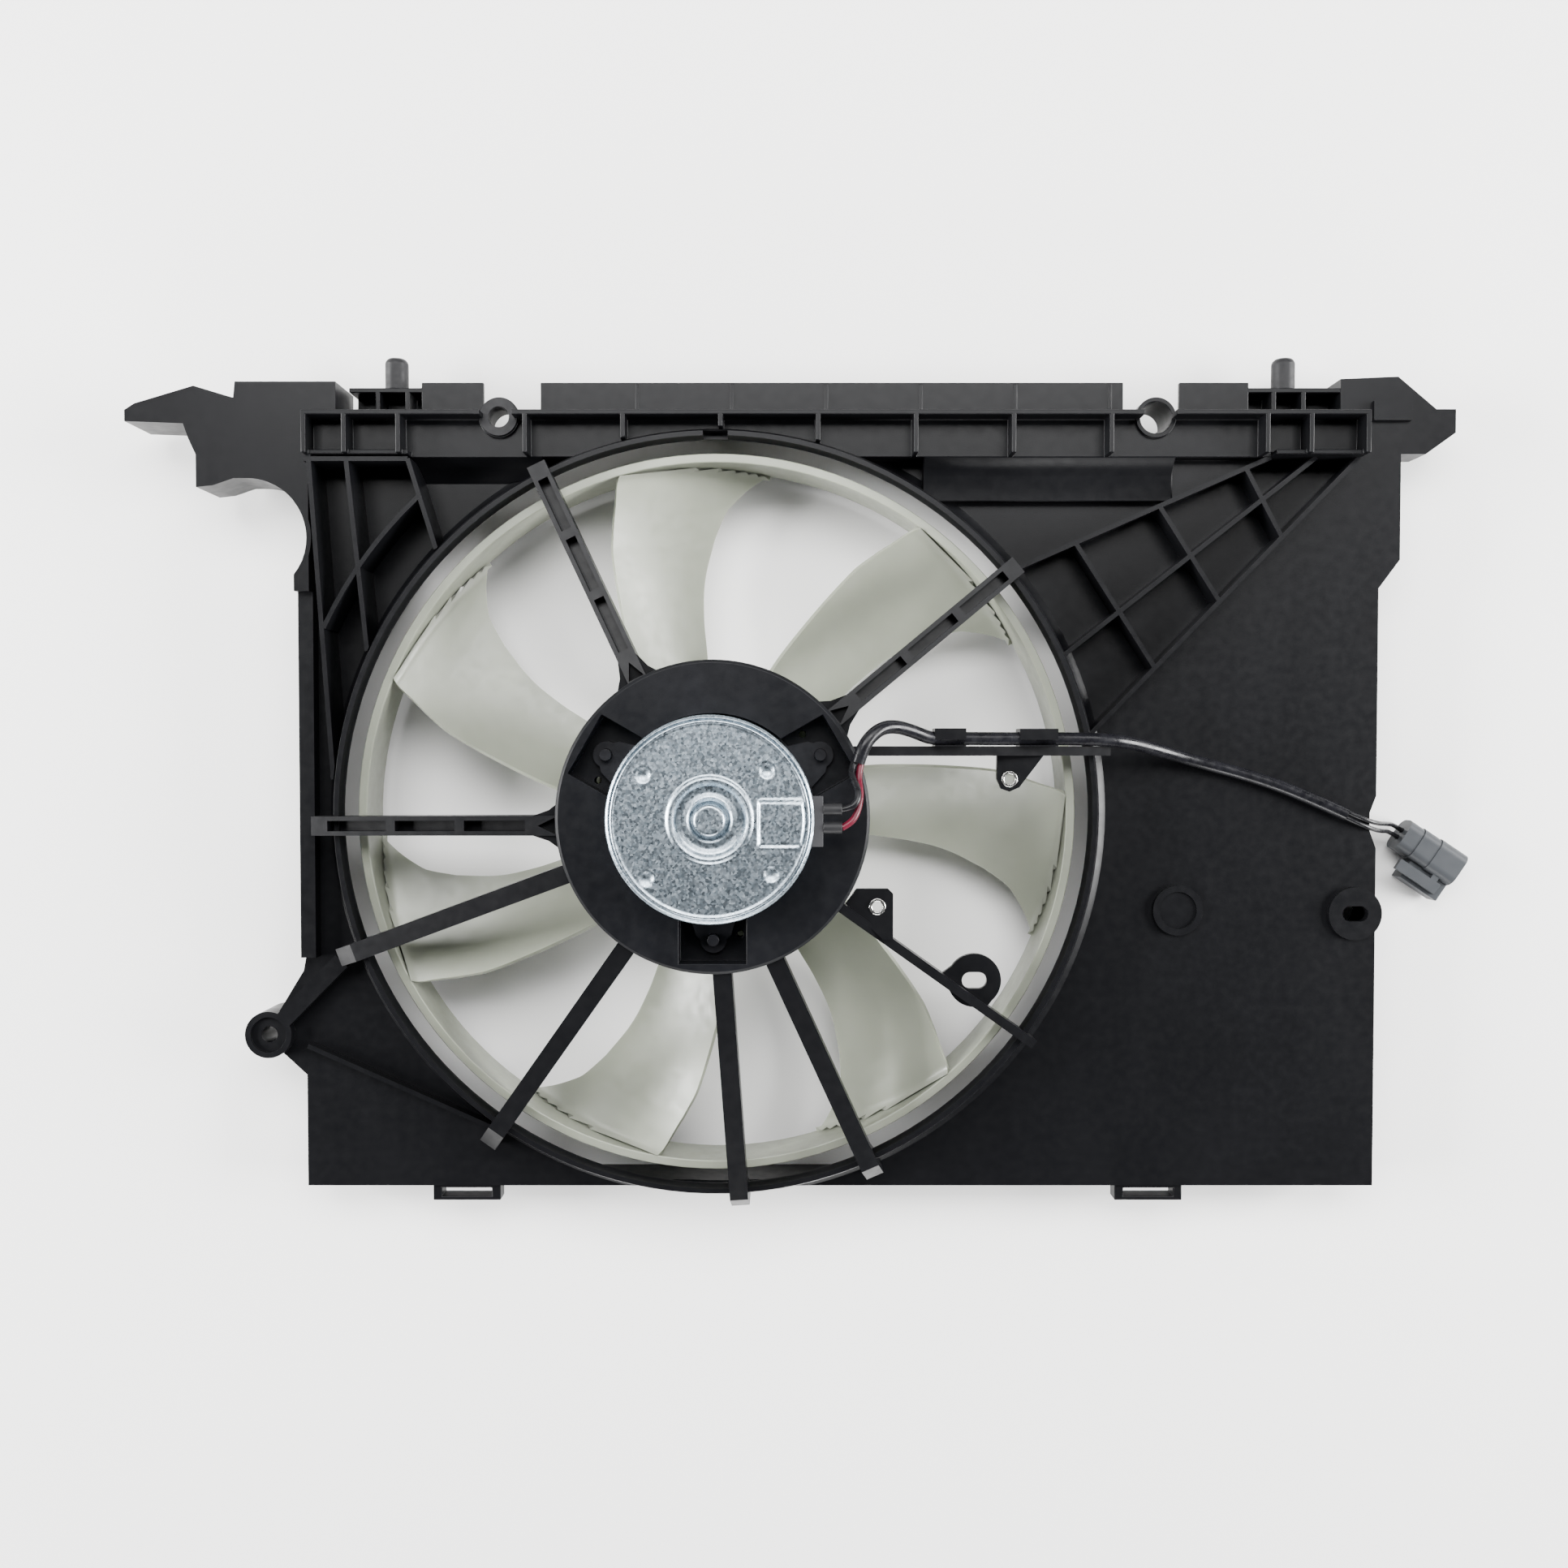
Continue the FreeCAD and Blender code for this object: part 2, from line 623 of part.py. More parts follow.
def build_panel(rail):
    """Panel with its ribs and bosses, its skirt and its corner lug, open to the radiator side and the barrel."""
    skirt_outside = block(
        "skirt_outside", ("left_edge", "right_wall"), ("bottom_edge", "rail_high"), ("0", "panel_top - wall"),
    )
    skirt_inside = block(
        "skirt_inside", ("left_edge + wall", "right_wall - wall"),
        ("bottom_edge + wall", "rail_high - wall"), ("-1", "panel_top - wall"),
    )
    bulge = rod("slot_boss_bulge", "slot_boss_x", "slot_boss_y", ("0", "panel_top - wall"), "slot_boss_radius")
    recess = rod("slot_boss_recess", "slot_boss_x", "slot_boss_y", ("-1", "panel_top - wall"),
                 "slot_boss_radius - wall")
    skirt = cut("skirt", fuse("skirt_with_bulge", [skirt_outside, bulge]), [skirt_inside, recess])
    loops = []
    for name, start in (("left", "loop_left"), ("right", "loop_right")):
        bar_low = "bottom_edge - loop_reach"
        z = ("loop_low", "loop_high")
        frame = block(name + "_loop_frame", (start, start + " + loop_length"), (bar_low, "bottom_edge"), z)
        hole = block(
            name + "_loop_hole", (start + " + loop_post", start + " + loop_length - loop_post"),
            (bar_low + " + loop_bar", "bottom_edge - 2"), ("loop_low - 1", "loop_high + 1"),
        )
        loops.append(cut(name + "_loop", frame, [hole]))
    solid = fuse("panel_solid", [panel_plate(), skirt] + loops + panel_ribs() + panel_lugs())
    bite_wall = common("bite_wall_panel", rod(
        "bite_wall_outside", "bite_x", "bite_y", ("0", "left_bracket_top"), "bite_radius + wall",
    ), block("bite_wall_zone", ("left_edge", "left_edge + 14"), ("bite_y - 34", "bite_y + 34"),
             ("0", "left_bracket_top")))
    solid = fuse("panel_with_bite", [solid, bite_wall])
    bite = rod("panel_bite", "bite_x", "bite_y", ("-1", "left_bracket_top + 9"), "bite_radius")
    web = "rail_rib_first + 5 * rail_rib_pitch"
    rail_wells = [
        block(f"rail_well_{side}", across, ("rail_low + wall", "rail_high - wall"), ("0", "panel_top + 1"))
        for side, across in (("left", ("rail_left + 2 * wall", f"{web} - rail_web / 2")),
                             ("right", (f"{web} + rail_web / 2", "rail_right - 2 * wall")))
    ]
    lug_hole = rod("lug_hole", "lug_x", "lug_y", ("0", "lug_top + 1"), "lug_hole_radius")
    lug_dish = rod("lug_dish", "lug_x", "lug_y", ("lug_top - 2", "lug_top + 1"), "lug_radius - 3")
    dish = rod(
        "blind_dish", "blind_boss_x", "blind_boss_y", ("panel_top + boss_height - 1", "panel_top + 9"),
        "blind_boss_radius - 3.5",
    )
    slot = block(
        "slot_middle",
        ("slot_boss_x - (slot_length - slot_width) / 2", "slot_boss_x + (slot_length - slot_width) / 2"),
        ("slot_boss_y - slot_width / 2", "slot_boss_y + slot_width / 2"), ("0", "panel_top + 9"),
    )
    slot_ends = [
        rod(f"slot_end_{side}", f"slot_boss_x + {side} * (slot_length - slot_width) / 2", "slot_boss_y",
            ("0", "panel_top + 9"), "slot_width / 2")
        for side in (-1, 1)
    ]
    tools = bolt_zones("panel_zone", ("-1", "rail_top")) + rail_wells + slot_ends
    tools += [bite, lug_hole, lug_dish, dish, slot] + barrel_core("panel_barrel")
    form = cut("panel_form", solid, tools)
    lug_zone = block(
        "lug_zone", ("lug_x - lug_radius - 5", "left_edge"), ("lug_y - 40", "lug_y + 60"), ("-1", "lug_top + 5"),
    )
    node(common("lug_form", form, lug_zone), "corner_lug")
    rest = cut("panel_and_skirt", form, [lug_zone])
    across = ("left_edge - 60", "right_flange + 60")
    skirt_zone = fuse("skirt_zone", [
        block("skirt_zone_low", across, ("bottom_edge - 60", "rail_high + 60"), ("-1", "panel_top - wall")),
        block("skirt_zone_loops", across, ("bottom_edge - 60", "bottom_edge"), ("-1", "panel_top + 9")),
    ])
    node(common("skirt_form", rest, skirt_zone), "shroud_skirt")
    node(cut("panel_plate_form", rest, [skirt_zone, rail]), "shroud_panel")
    return form


def build_rail():
    """Top rail: a raised channel with cross ribs, two bolt collars and the shelf that falls to the panel."""
    low = "panel_top"
    floor = block(
        "rail_floor_plate", ("rail_left", "rail_right"), ("rail_low", "rail_high"),
        ("rail_floor - wall", "rail_floor"),
    )
    walls = [
        block("rail_upper_wall", ("rail_left", "rail_right"), ("rail_high - wall", "rail_high"), (low, "rail_top")),
        block("rail_lower_wall", ("rail_left", "rail_right"), ("rail_low", "rail_low + wall"), (low, "rail_floor")),
        block("rail_left_wall", ("rail_left", "rail_left + wall"), ("rail_low", "rail_high"), (low, "rail_top")),
        block("rail_right_wall", ("rail_right - wall", "rail_right"), ("rail_low", "rail_high"), (low, "rail_top")),
        block("rail_left_bar", ("rail_left", "left_rib_near"), ("rail_low", "rail_low + rib_thick"),
              (low, "left_rib_top")),
        block("rail_right_bar", ("tri_rail_inner", "rail_right"), ("rail_low", "rail_low + rib_thick"),
              (low, "rail_top - 4")),
    ]
    across = [f"rail_rib_first + {index} * rail_rib_pitch" for index in range(int(size("rail_rib_count")))]
    across += ["left_rib_far", "left_rib_near_top", "tri_rail_inner - 5.7", "tri_rail_middle - 7"]
    ribs = [
        block(f"rail_rib_{index}", (f"{x} - rib_thick / 2", f"{x} + rib_thick / 2"),
              ("rail_low", "rail_high"), ("rail_floor - 1", "rail_top"))
        for index, x in enumerate(across)
    ]
    collars = []
    holes = []
    for name in ("bolt_left", "bolt_right"):
        outside = "bolt_hole_radius + bolt_collar_wall"
        collars.append(rod(name + "_collar", name, "bolt_line", ("bolt_collar_low", "rail_floor + 2"), outside))
        holes.append(rod(name + "_hole", name, "bolt_line", ("0", "rail_top + 9"), "bolt_hole_radius"))
    shelf = upright_x("shelf_form", [
        ("rail_low", low),
        ("rail_low", "rail_floor"),
        ("rail_low - ramp_run * 0.4", "rail_floor - 4"),
        ("rail_low - ramp_run", "shelf_top"),
        ("shelf_low", "shelf_top - 1"),
        ("shelf_low", low),
    ], ("shelf_left", "shelf_right"))
    shelf_wedge = prism("shelf_wedge", [
        ("shelf_right", "shelf_low"),
        ("tri_rail_inner", "rail_low"),
        ("shelf_right", "rail_low"),
    ], (low, "shelf_top - 1"))
    ramp = upright_x("left_ramp", [
        ("rail_low", low),
        ("rail_low", "rail_floor"),
        ("rail_low - ramp_run * 0.5", "rail_floor - 9"),
        ("rail_low - ramp_run * 1.3", low),
    ], ("ramp_left_start", "ramp_left_end"))
    solid = fuse("rail_solid", [floor] + walls + ribs + collars + [shelf, shelf_wedge, ramp])
    form = cut("rail_form", solid, holes + barrel_core("rail_barrel"))
    zone = fuse("collar_zone", bolt_zones("rail_zone", ("-1", "rail_top + 9")))
    node(common("collar_form", form, zone), "bolt_collars")
    node(cut("rail_without_collars", form, [zone]), "top_rail")
    return form


def hollow(name, base, z, wall):
    """Shell of a prism, open at its lower end: the prism without a smaller one under its top."""
    inner = DOC.addObject("Part::Offset2D", name + "_inset")
    inner.Source = base.Base
    inner.Join = "Intersection"
    bind(inner, Value=f"-({wall})")
    core = DOC.addObject("Part::Extrusion", name + "_core")
    core.Base = inner
    core.DirMode = "Custom"
    core.Dir = Vector(0, 0, 1)
    core.Solid = True
    bind(core, LengthFwd=f"({z[1]}) - ({z[0]}) - {wall}")
    return cut(name, base, [core])


# Outlines of the two brackets: distance from the edge of the panel they stand on, and from the rail's top.
LEFT_ARM = (
    (22.9, 0),
    (22.9, 17.6),
    (-30.3, 17.6),
    (-31.2, 9.1),
    (-52.2, 15.4),
    (-83.5, 6.1),
    (-88.8, 2.7),
    (-88.8, -3.3),
    (-57.9, -4.4),
    (-55, -12.7),
    (-51.3, -20.7),
    (-51.3, -37.9),
    (-42.4, -37),
)
RIGHT_ARM = (
    (0, -17.5),
    (13.4, -17.5),
    (29.4, -6),
    (29.4, 6.6),
    (18.8, 6.6),
    (-1.9, 24),
)


def build_left_bracket():
    """Upper left bracket: a hollow arm with a rounded bite below it."""
    z = ("left_bracket_low", "left_bracket_top")
    outline = [(f"left_edge + {x}", f"rail_high + {y}") for x, y in LEFT_ARM]
    arm = prism("left_arm", [
        ("left_edge", "bite_y"),
        ("left_edge", "rail_high"),
        *outline,
        ("bite_x - 7", "bite_y + bite_radius"),
        ("bite_x", "bite_y + bite_radius"),
        ("bite_x", "bite_y"),
    ], z)
    shell = hollow("left_arm_shell", arm, z, "bracket_wall")
    ring = rod("bite_wall", "bite_x", "bite_y", z, "bite_radius + bracket_wall")
    bite = rod("left_bite", "bite_x", "bite_y", ("0", "left_bracket_top + 5"), "bite_radius")
    joined = fuse("left_arm_joined", [shell, common("bite_wall_kept", arm, ring)])
    return node(cut("left_bracket_form", joined, [bite]), "left_bracket")


def build_right_bracket():
    """Upper right bracket, level with the panel, with its raised pad."""
    z = ("right_bracket_low", "panel_top")
    root = "pin_right + 27.9"
    outline = [(f"corner_flange + {x}", f"rail_high + {y}") for x, y in RIGHT_ARM]
    arm = prism("right_arm", [
        *outline,
        (root, "rail_high + 22.7"),
        (root, "rail_high"),
        ("corner_flange", "rail_high"),
    ], z)
    shell = hollow("right_arm_shell", arm, z, "bracket_wall")
    pad = block(
        "right_pad", ("corner_flange - 16", "corner_flange + 4.5"), ("rail_high + 0.01", "rail_high + 10.4"),
        ("panel_top", "panel_top + right_pad_height"),
    )
    return node(fuse("right_bracket_form", [shell, pad]), "right_bracket")


def build_tabs():
    """Upper tabs beyond the rail and the two pin holders."""
    z = ("panel_top - tab_thick", "panel_top")
    holder_spans = (
        ("pin_left", "pin_left - 23.4", "pin_left + 15.7"),
        ("pin_right", "pin_right - 21.7", "pin_right + 27.9"),
    )
    spans = (
        (holder_spans[0][2], "bolt_left - 11.7"),
        ("bolt_left + 19", "bolt_right - 13.4"),
        ("bolt_right + 16.8", holder_spans[1][1]),
    )
    solids = [block(f"upper_tab_{index}", span, ("rail_high", "tab_high"), z) for index, span in enumerate(spans)]
    for index in range(6):
        middle = f"tab_rib_first + {index} * rail_rib_pitch"
        solids.append(block(
            f"tab_rib_{index}", (f"{middle} - rib_thick / 3", f"{middle} + rib_thick / 3"),
            ("rail_high", "tab_high - 1"), ("panel_top - tab_thick - 6", "panel_top + 0.8"),
        ))
    for name, start, end in holder_spans:
        base = ("holder_low", "holder_low + tab_thick")
        height = ("holder_low", "panel_top")
        solids.append(block(name + "_base", (start, end), ("rail_high", "holder_high"), base))
        solids.append(block(name + "_front", (start, end), ("holder_high - wall", "holder_high"), height))
        for side, sign in (("low", "-"), ("high", "+")):
            edge = f"{name} {sign} web_spread"
            across = (f"{edge} - rib_thick / 2", f"{edge} + rib_thick / 2")
            solids.append(block(f"{name}_web_{side}", across, ("rail_high", "holder_high"), height))
    return node(fuse("tab_solid", solids), "upper_tabs")


def build_pins():
    """Two guide pins that point up and away from the rail, with rounded tips."""
    pins = []
    for name in ("pin_left", "pin_right"):
        stem = DOC.addObject("Part::Cylinder", name + "_stem")
        stem.Placement.Rotation = FreeCAD.Rotation(Vector(1, 0, 0), -90)
        bind(
            stem, Radius="pin_radius", Height="pin_tip - holder_high - pin_cone", Placement__Base__x=name,
            Placement__Base__y="holder_high", Placement__Base__z="pin_height",
        )
        tip = DOC.addObject("Part::Cone", name + "_tip")
        tip.Placement.Rotation = FreeCAD.Rotation(Vector(1, 0, 0), -90)
        bind(
            tip, Radius1="pin_radius", Radius2="pin_radius - 1.6", Height="pin_cone", Placement__Base__x=name,
            Placement__Base__y="pin_tip - pin_cone", Placement__Base__z="pin_height",
        )
        pins += [stem, tip]
    return node(fuse("pins_form", pins), "guide_pins")


# Spokes: name, angle round the axis, sideways offset, end, and where a round spoke lands.
SLOTTED = (
    ("upper_left", 116.0, 3.8, "barrel_outer + 2.4"),
    ("upper_right", 39.7, -0.6, "barrel_outer + 2.4"),
    ("left", 180.7, 3.4, "barrel_outer + 9"),
)
ROUND = (
    ("lower_right", -66.3, -0.6, "barrel_outer + 10", "barrel_outer + 1", "panel_top"),
    ("bottom", -86.5, -0.2, "barrel_outer + 8.5", "1.5 - bottom_edge", "panel_top - 8"),
    ("lower_left", -125.3, 2.3, "barrel_outer + 14", "barrel_outer + 1", "panel_top"),
    ("left_low", -159.3, 0.8, "barrel_outer + 14", "barrel_outer + 1", "panel_top"),
)
THIN = (
    ("right", 0.0, "side_spoke_offset", "barrel_outer + 4"),
    ("right_low", -36.2, 1.2, "barrel_outer + 4"),
)


def spoke_outline(tip):
    """Side view of a spoke that falls from the motor ring to the barrel rim."""
    return [
        ("spoke_root", "spoke_root_low"),
        (tip, "spoke_tip_low"),
        (tip, "spoke_tip_top"),
        ("spoke_root", "spoke_root_top"),
    ]


def spoke_height(distance, edge="top"):
    """Height of a spoke's upper or lower edge at a distance along it."""
    share = f"(({distance}) - spoke_root) / (spoke_end - spoke_root)"
    return f"spoke_root_{edge} + (spoke_tip_{edge} - spoke_root_{edge}) * {share}"


def slotted_spoke(name, angle, offset, tip):
    """Wide spoke with three open slots along its upper side and a flared root."""
    half = "slot_spoke_width / 2"
    body = upright(f"spoke_{name}", spoke_outline(tip), (f"{offset} - {half}", f"{offset} + {half}"), angle)
    first = "flare_end + 4"
    step = f"({tip} - 4 - flare_end - 4) / 3"
    slots = []
    for index in range(3):
        low = f"{first} + {index} * {step}"
        high = f"{first} + {index + 1} * {step} - slot_web"
        outline = [
            (low, spoke_height(low) + " - slot_depth"),
            (high, spoke_height(high) + " - slot_depth"),
            (high, "ring_top + 9"),
            (low, "ring_top + 9"),
        ]
        inner = f"{half} - slot_spoke_wall"
        slots.append(upright(f"slot_{name}_{index}", outline, (f"{offset} - ({inner})", f"{offset} + {inner}"), angle))
    flare = prism(f"flare_{name}", [
        ("ring_outer - 3", f"{offset} - flare_width / 2"),
        ("ring_outer + 4", f"{offset} - flare_width * 0.3"),
        ("flare_end", f"{offset} - {half}"),
        ("flare_end", f"{offset} + {half}"),
        ("ring_outer + 4", f"{offset} + flare_width * 0.3"),
        ("ring_outer - 3", f"{offset} + flare_width / 2"),
    ], ("ring_top - 12", spoke_height("flare_end")))
    well = place(prism(f"flare_well_{name}", [
        ("ring_outer + 0.5", f"{offset} - well_half"),
        ("flare_end - 2.6", offset),
        ("ring_outer + 0.5", f"{offset} + well_half"),
    ], ("ring_top - 9", "ring_top + 1")), turn=angle)
    joined = fuse(f"spoke_joined_{name}", [body, place(flare, turn=angle)])
    return cut(f"spoke_form_{name}", joined, slots + [well])


def round_spoke(name, angle, offset, tip, foot, foot_low):
    """Spoke that arches over the barrel rim and lands on the panel or over the bottom edge."""
    half = "round_spoke_width / 2"
    outline = [
        ("spoke_root", "spoke_root_low"),
        ("barrel_inner - 6", "spoke_tip_low"),
        (foot, foot_low),
        (tip, foot_low),
        (tip, "lip_high - 6"),
        ("barrel_outer + 1", "spoke_tip_top"),
        ("spoke_root", "spoke_root_top"),
    ]
    return upright(f"spoke_{name}", outline, (f"{offset} - {half}", f"{offset} + {half}"), angle)


def thin_spoke(name, angle, offset, tip):
    """Narrow blade-like spoke."""
    half = "thin_spoke_width / 2"
    return upright(f"spoke_{name}", spoke_outline(tip), (f"{offset} - {half}", f"{offset} + {half}"), angle)


def around(x, y, corners):
    """Outline whose corners are given as distances from a point."""
    return [(f"{x} + {across}", f"{y} + {up}") for across, up in corners]


def spoke_tabs():
    """Small ears with holes that stand beside the two thin spokes."""
    side = prism("side_tab", [
        ("side_tab_x - 6.5", "side_spoke_offset"),
        *around("side_tab_x", "side_tab_y", ((-6.5, 0), (-4.3, -4.9), (0, -6.5), (5.1, -4.3))),
        ("side_tab_x + 19.4", "side_spoke_offset"),
    ], ("side_tab_top - tab_plate", "side_tab_top"))
    corners = ((-16, 1.5), (-10.5, 9), (5.5, 9), (8, 6.5), (8, -17), (3, -17))
    corner = prism("corner_tab", around("corner_tab_x", "corner_tab_y", corners),
                   ("corner_tab_top - tab_plate", "corner_tab_top"))
    ear_z = ("loop_ear_top - tab_plate", "loop_ear_top")
    ear = rod("loop_ear", "loop_ear_x", "loop_ear_y", ear_z, "loop_ear_radius")
    feet = ((-10.8, 8.1), (12.7, -5.9), (4.2, -16.9), (-19.8, 1.6))
    foot = prism("loop_ear_foot", around("loop_ear_x", "loop_ear_y", feet), ear_z)
    return [side], [corner, ear, foot]


def spoke_holes():
    """Holes for the two inserts and the slot of the ear."""
    holes = [
        rod(f"{name}_tab_hole", f"{name}_tab_x", f"{name}_tab_y",
            (f"{name}_tab_top - 3 * tab_plate", f"{name}_tab_top + tab_plate"), "insert_outer")
        for name in ("side", "corner")
    ]
    z = ("loop_ear_top - 3 * tab_plate", "loop_ear_top + 3 * tab_plate")
    ends = [f"loop_ear_x {sign} loop_slot_half" for sign in "-+"]
    holes.append(block(
        "ear_slot_middle", ends, ("loop_ear_y - loop_slot_radius", "loop_ear_y + loop_slot_radius"), z,
    ))
    holes += [rod(f"ear_slot_end_{index}", x, "loop_ear_y", z, "loop_slot_radius") for index, x in enumerate(ends)]
    return holes


def build_spokes(barrel, panel, rail):
    """Nine stator spokes, trimmed to the ring, the barrel and the panel that they meet."""
    side_tabs, corner_tabs = spoke_tabs()
    spokes = [slotted_spoke(*row) for row in SLOTTED] + [round_spoke(*row) for row in ROUND]
    right, right_low = [thin_spoke(*row) for row in THIN]
    spokes += [fuse("right_with_tab", [right] + side_tabs), fuse("right_low_with_tabs", [right_low] + corner_tabs)]
    group = fuse("spoke_group", spokes)
    ring_core = rod("ring_core", "0", "0", ("0", "ring_top + 30"), "ring_outer")
    tools = [ring_core] + spoke_holes()
    trimmed = cut("spokes_holed", group, tools)
    for name, neighbour in (("barrel", barrel), ("panel", panel), ("rail", rail)):
        trimmed = cut(f"spokes_clear_of_{name}", trimmed, [neighbour])
    return node(trimmed, "stator_spokes")


EARS = (30, 150, 270)


def build_ring():
    """Motor mounting ring with three pockets for the motor's ears."""
    ring = turned("ring_wall", [
        ("ring_inner", "ring_low"),
        ("ring_outer", "ring_low"),
        ("ring_outer", "ring_top - 1.5"),
        ("ring_outer - 1.5", "ring_top"),
        ("ring_inner", "ring_top"),
    ])
    tools = []
    for index, angle in enumerate(EARS):
        tools.append(block(
            f"ear_pocket_{index}", ("ring_inner - 9", "pocket_reach"), ("-pocket_width / 2", "pocket_width / 2"),
            ("ear_floor", "ring_top + 1"), angle,
        ))
        through = ("ring_low - 1", "ring_top")
        tools.append(rod(f"ear_bolt_{index}", "ear_radius", "0", through, "screw_radius + 0.3", angle))
        tools.append(rod(f"drain_{index}", "drain_place", "drain_side", through, "drain_radius", angle))
    return node(cut("ring_form", ring, tools), "motor_mount_ring")


def build_fan():
    """Ring fan: hub cup with inner ribs, blades, and the flanged outer ring."""
    cup = turned("hub_cup", [
        ("hub_boss_radius", "hub_face"),
        ("hub_radius - 4", "hub_face"),
        ("hub_radius", "hub_face + 4"),
        ("hub_radius", "hub_high"),
        ("hub_radius - hub_wall", "hub_high"),
        ("hub_radius - hub_wall", "hub_face + hub_wall + 2"),
        ("hub_radius - hub_wall - 2", "hub_face + hub_wall"),
        ("hub_boss_radius", "hub_face + hub_wall"),
    ])
    boss = turned("hub_boss", [
        ("shaft_radius + 3", "hub_face - 3"),
        ("hub_boss_radius", "hub_face - 3"),
        ("hub_boss_radius", "hub_boss_high"),
        ("shaft_radius + 3", "hub_boss_high"),
    ])
    count = int(size("hub_rib_count"))
    ribs = [
        block(f"hub_rib_{index}", ("hub_boss_radius - 1", "hub_radius - 1"), ("-1", "1"),
              ("hub_face + 1", "hub_high - 16"), f"{index} * 360 / hub_rib_count")
        for index in range(count)
    ]
    node(fuse("hub_form", [cup, boss] + ribs), "fan_hub")
    insert = turned("hub_insert_form", [
        ("shaft_radius", "hub_face - 3"),
        ("shaft_radius + 3", "hub_face - 3"),
        ("shaft_radius + 3", "hub_boss_high"),
        ("shaft_radius", "hub_boss_high"),
    ])
    node(insert, "hub_insert")
    node(shaped("blades_form", fan_blades()), "fan_blades")
    ring = turned("fan_ring_form", [
        ("fan_ring_inner", "fan_ring_low"),
        ("fan_ring_inner + fan_ring_wall", "fan_ring_low"),
        ("fan_ring_inner + fan_ring_wall", "fan_ring_high - fan_flange_thick"),
        ("fan_flange_outer", "fan_ring_high - fan_flange_thick"),
        ("fan_flange_outer", "fan_ring_high"),
        ("fan_ring_inner", "fan_ring_high"),
    ])
    node(ring, "fan_ring")


# Plan of one blade, in shares of the ring's inner radius: distance out, leading edge, trailing edge.
BLADE_STATIONS = (
    (0.330, -0.030, 0.140),
    (0.450, -0.048, 0.156),
    (0.565, -0.059, 0.162),
    (0.675, -0.082, 0.163),
    (0.790, -0.132, 0.158),
    (0.870, -0.186, 0.140),
    (0.920, -0.262, 0.125),
    (0.965, -0.370, 0.113),
    (1.030, -0.480, 0.098),
)


def blade_section(distance, leading, trailing):
    """Closed wire of one flat section across a blade, cambered and of even thickness."""
    reach = size("fan_ring_inner")
    low = size("blade_low")
    high = size("blade_high")
    half = size("blade_thick") / 2
    sag = size("blade_sag")
    x = distance * reach

    def line(shift):
        points = []
        for index in range(5):
            share = index / 4
            y = (leading + (trailing - leading) * share) * reach
            z = low + (high - low) * share - 4 * sag * share * (1 - share) + shift
            points.append(Vector(x, y, z))
        curve = Part.BSplineCurve()
        curve.interpolate(points)
        return curve.toShape(), points
    upper, top = line(half)
    lower, bottom = line(-half)
    nose = Part.makeLine(bottom[0], top[0])
    tail = Part.makeLine(top[-1], bottom[-1])
    return Part.Wire([upper, tail, lower, nose])


def fan_blades():
    """Blades, trimmed between the hub's outside and the ring's inside."""
    low = size("fan_ring_low") - 20
    height = size("fan_ring_high") + 40
    sections = [blade_section(*row) for row in BLADE_STATIONS]
    blade = Part.makeLoft(sections, True, False)
    blade = blade.common(Part.makeCylinder(size("fan_ring_inner"), height, Vector(0, 0, low)))
    blade = blade.cut(Part.makeCylinder(size("hub_radius"), height, Vector(0, 0, low)))
    blade.rotate(Vector(), Vector(0, 0, 1), size("blade_turn"))
    count = int(size("blade_count"))
    blades = []
    for index in range(count):
        copy = blade.copy()
        copy.rotate(Vector(), Vector(0, 0, 1), index * 360 / count)
        blades += copy.Solids
    return Part.makeCompound(blades)


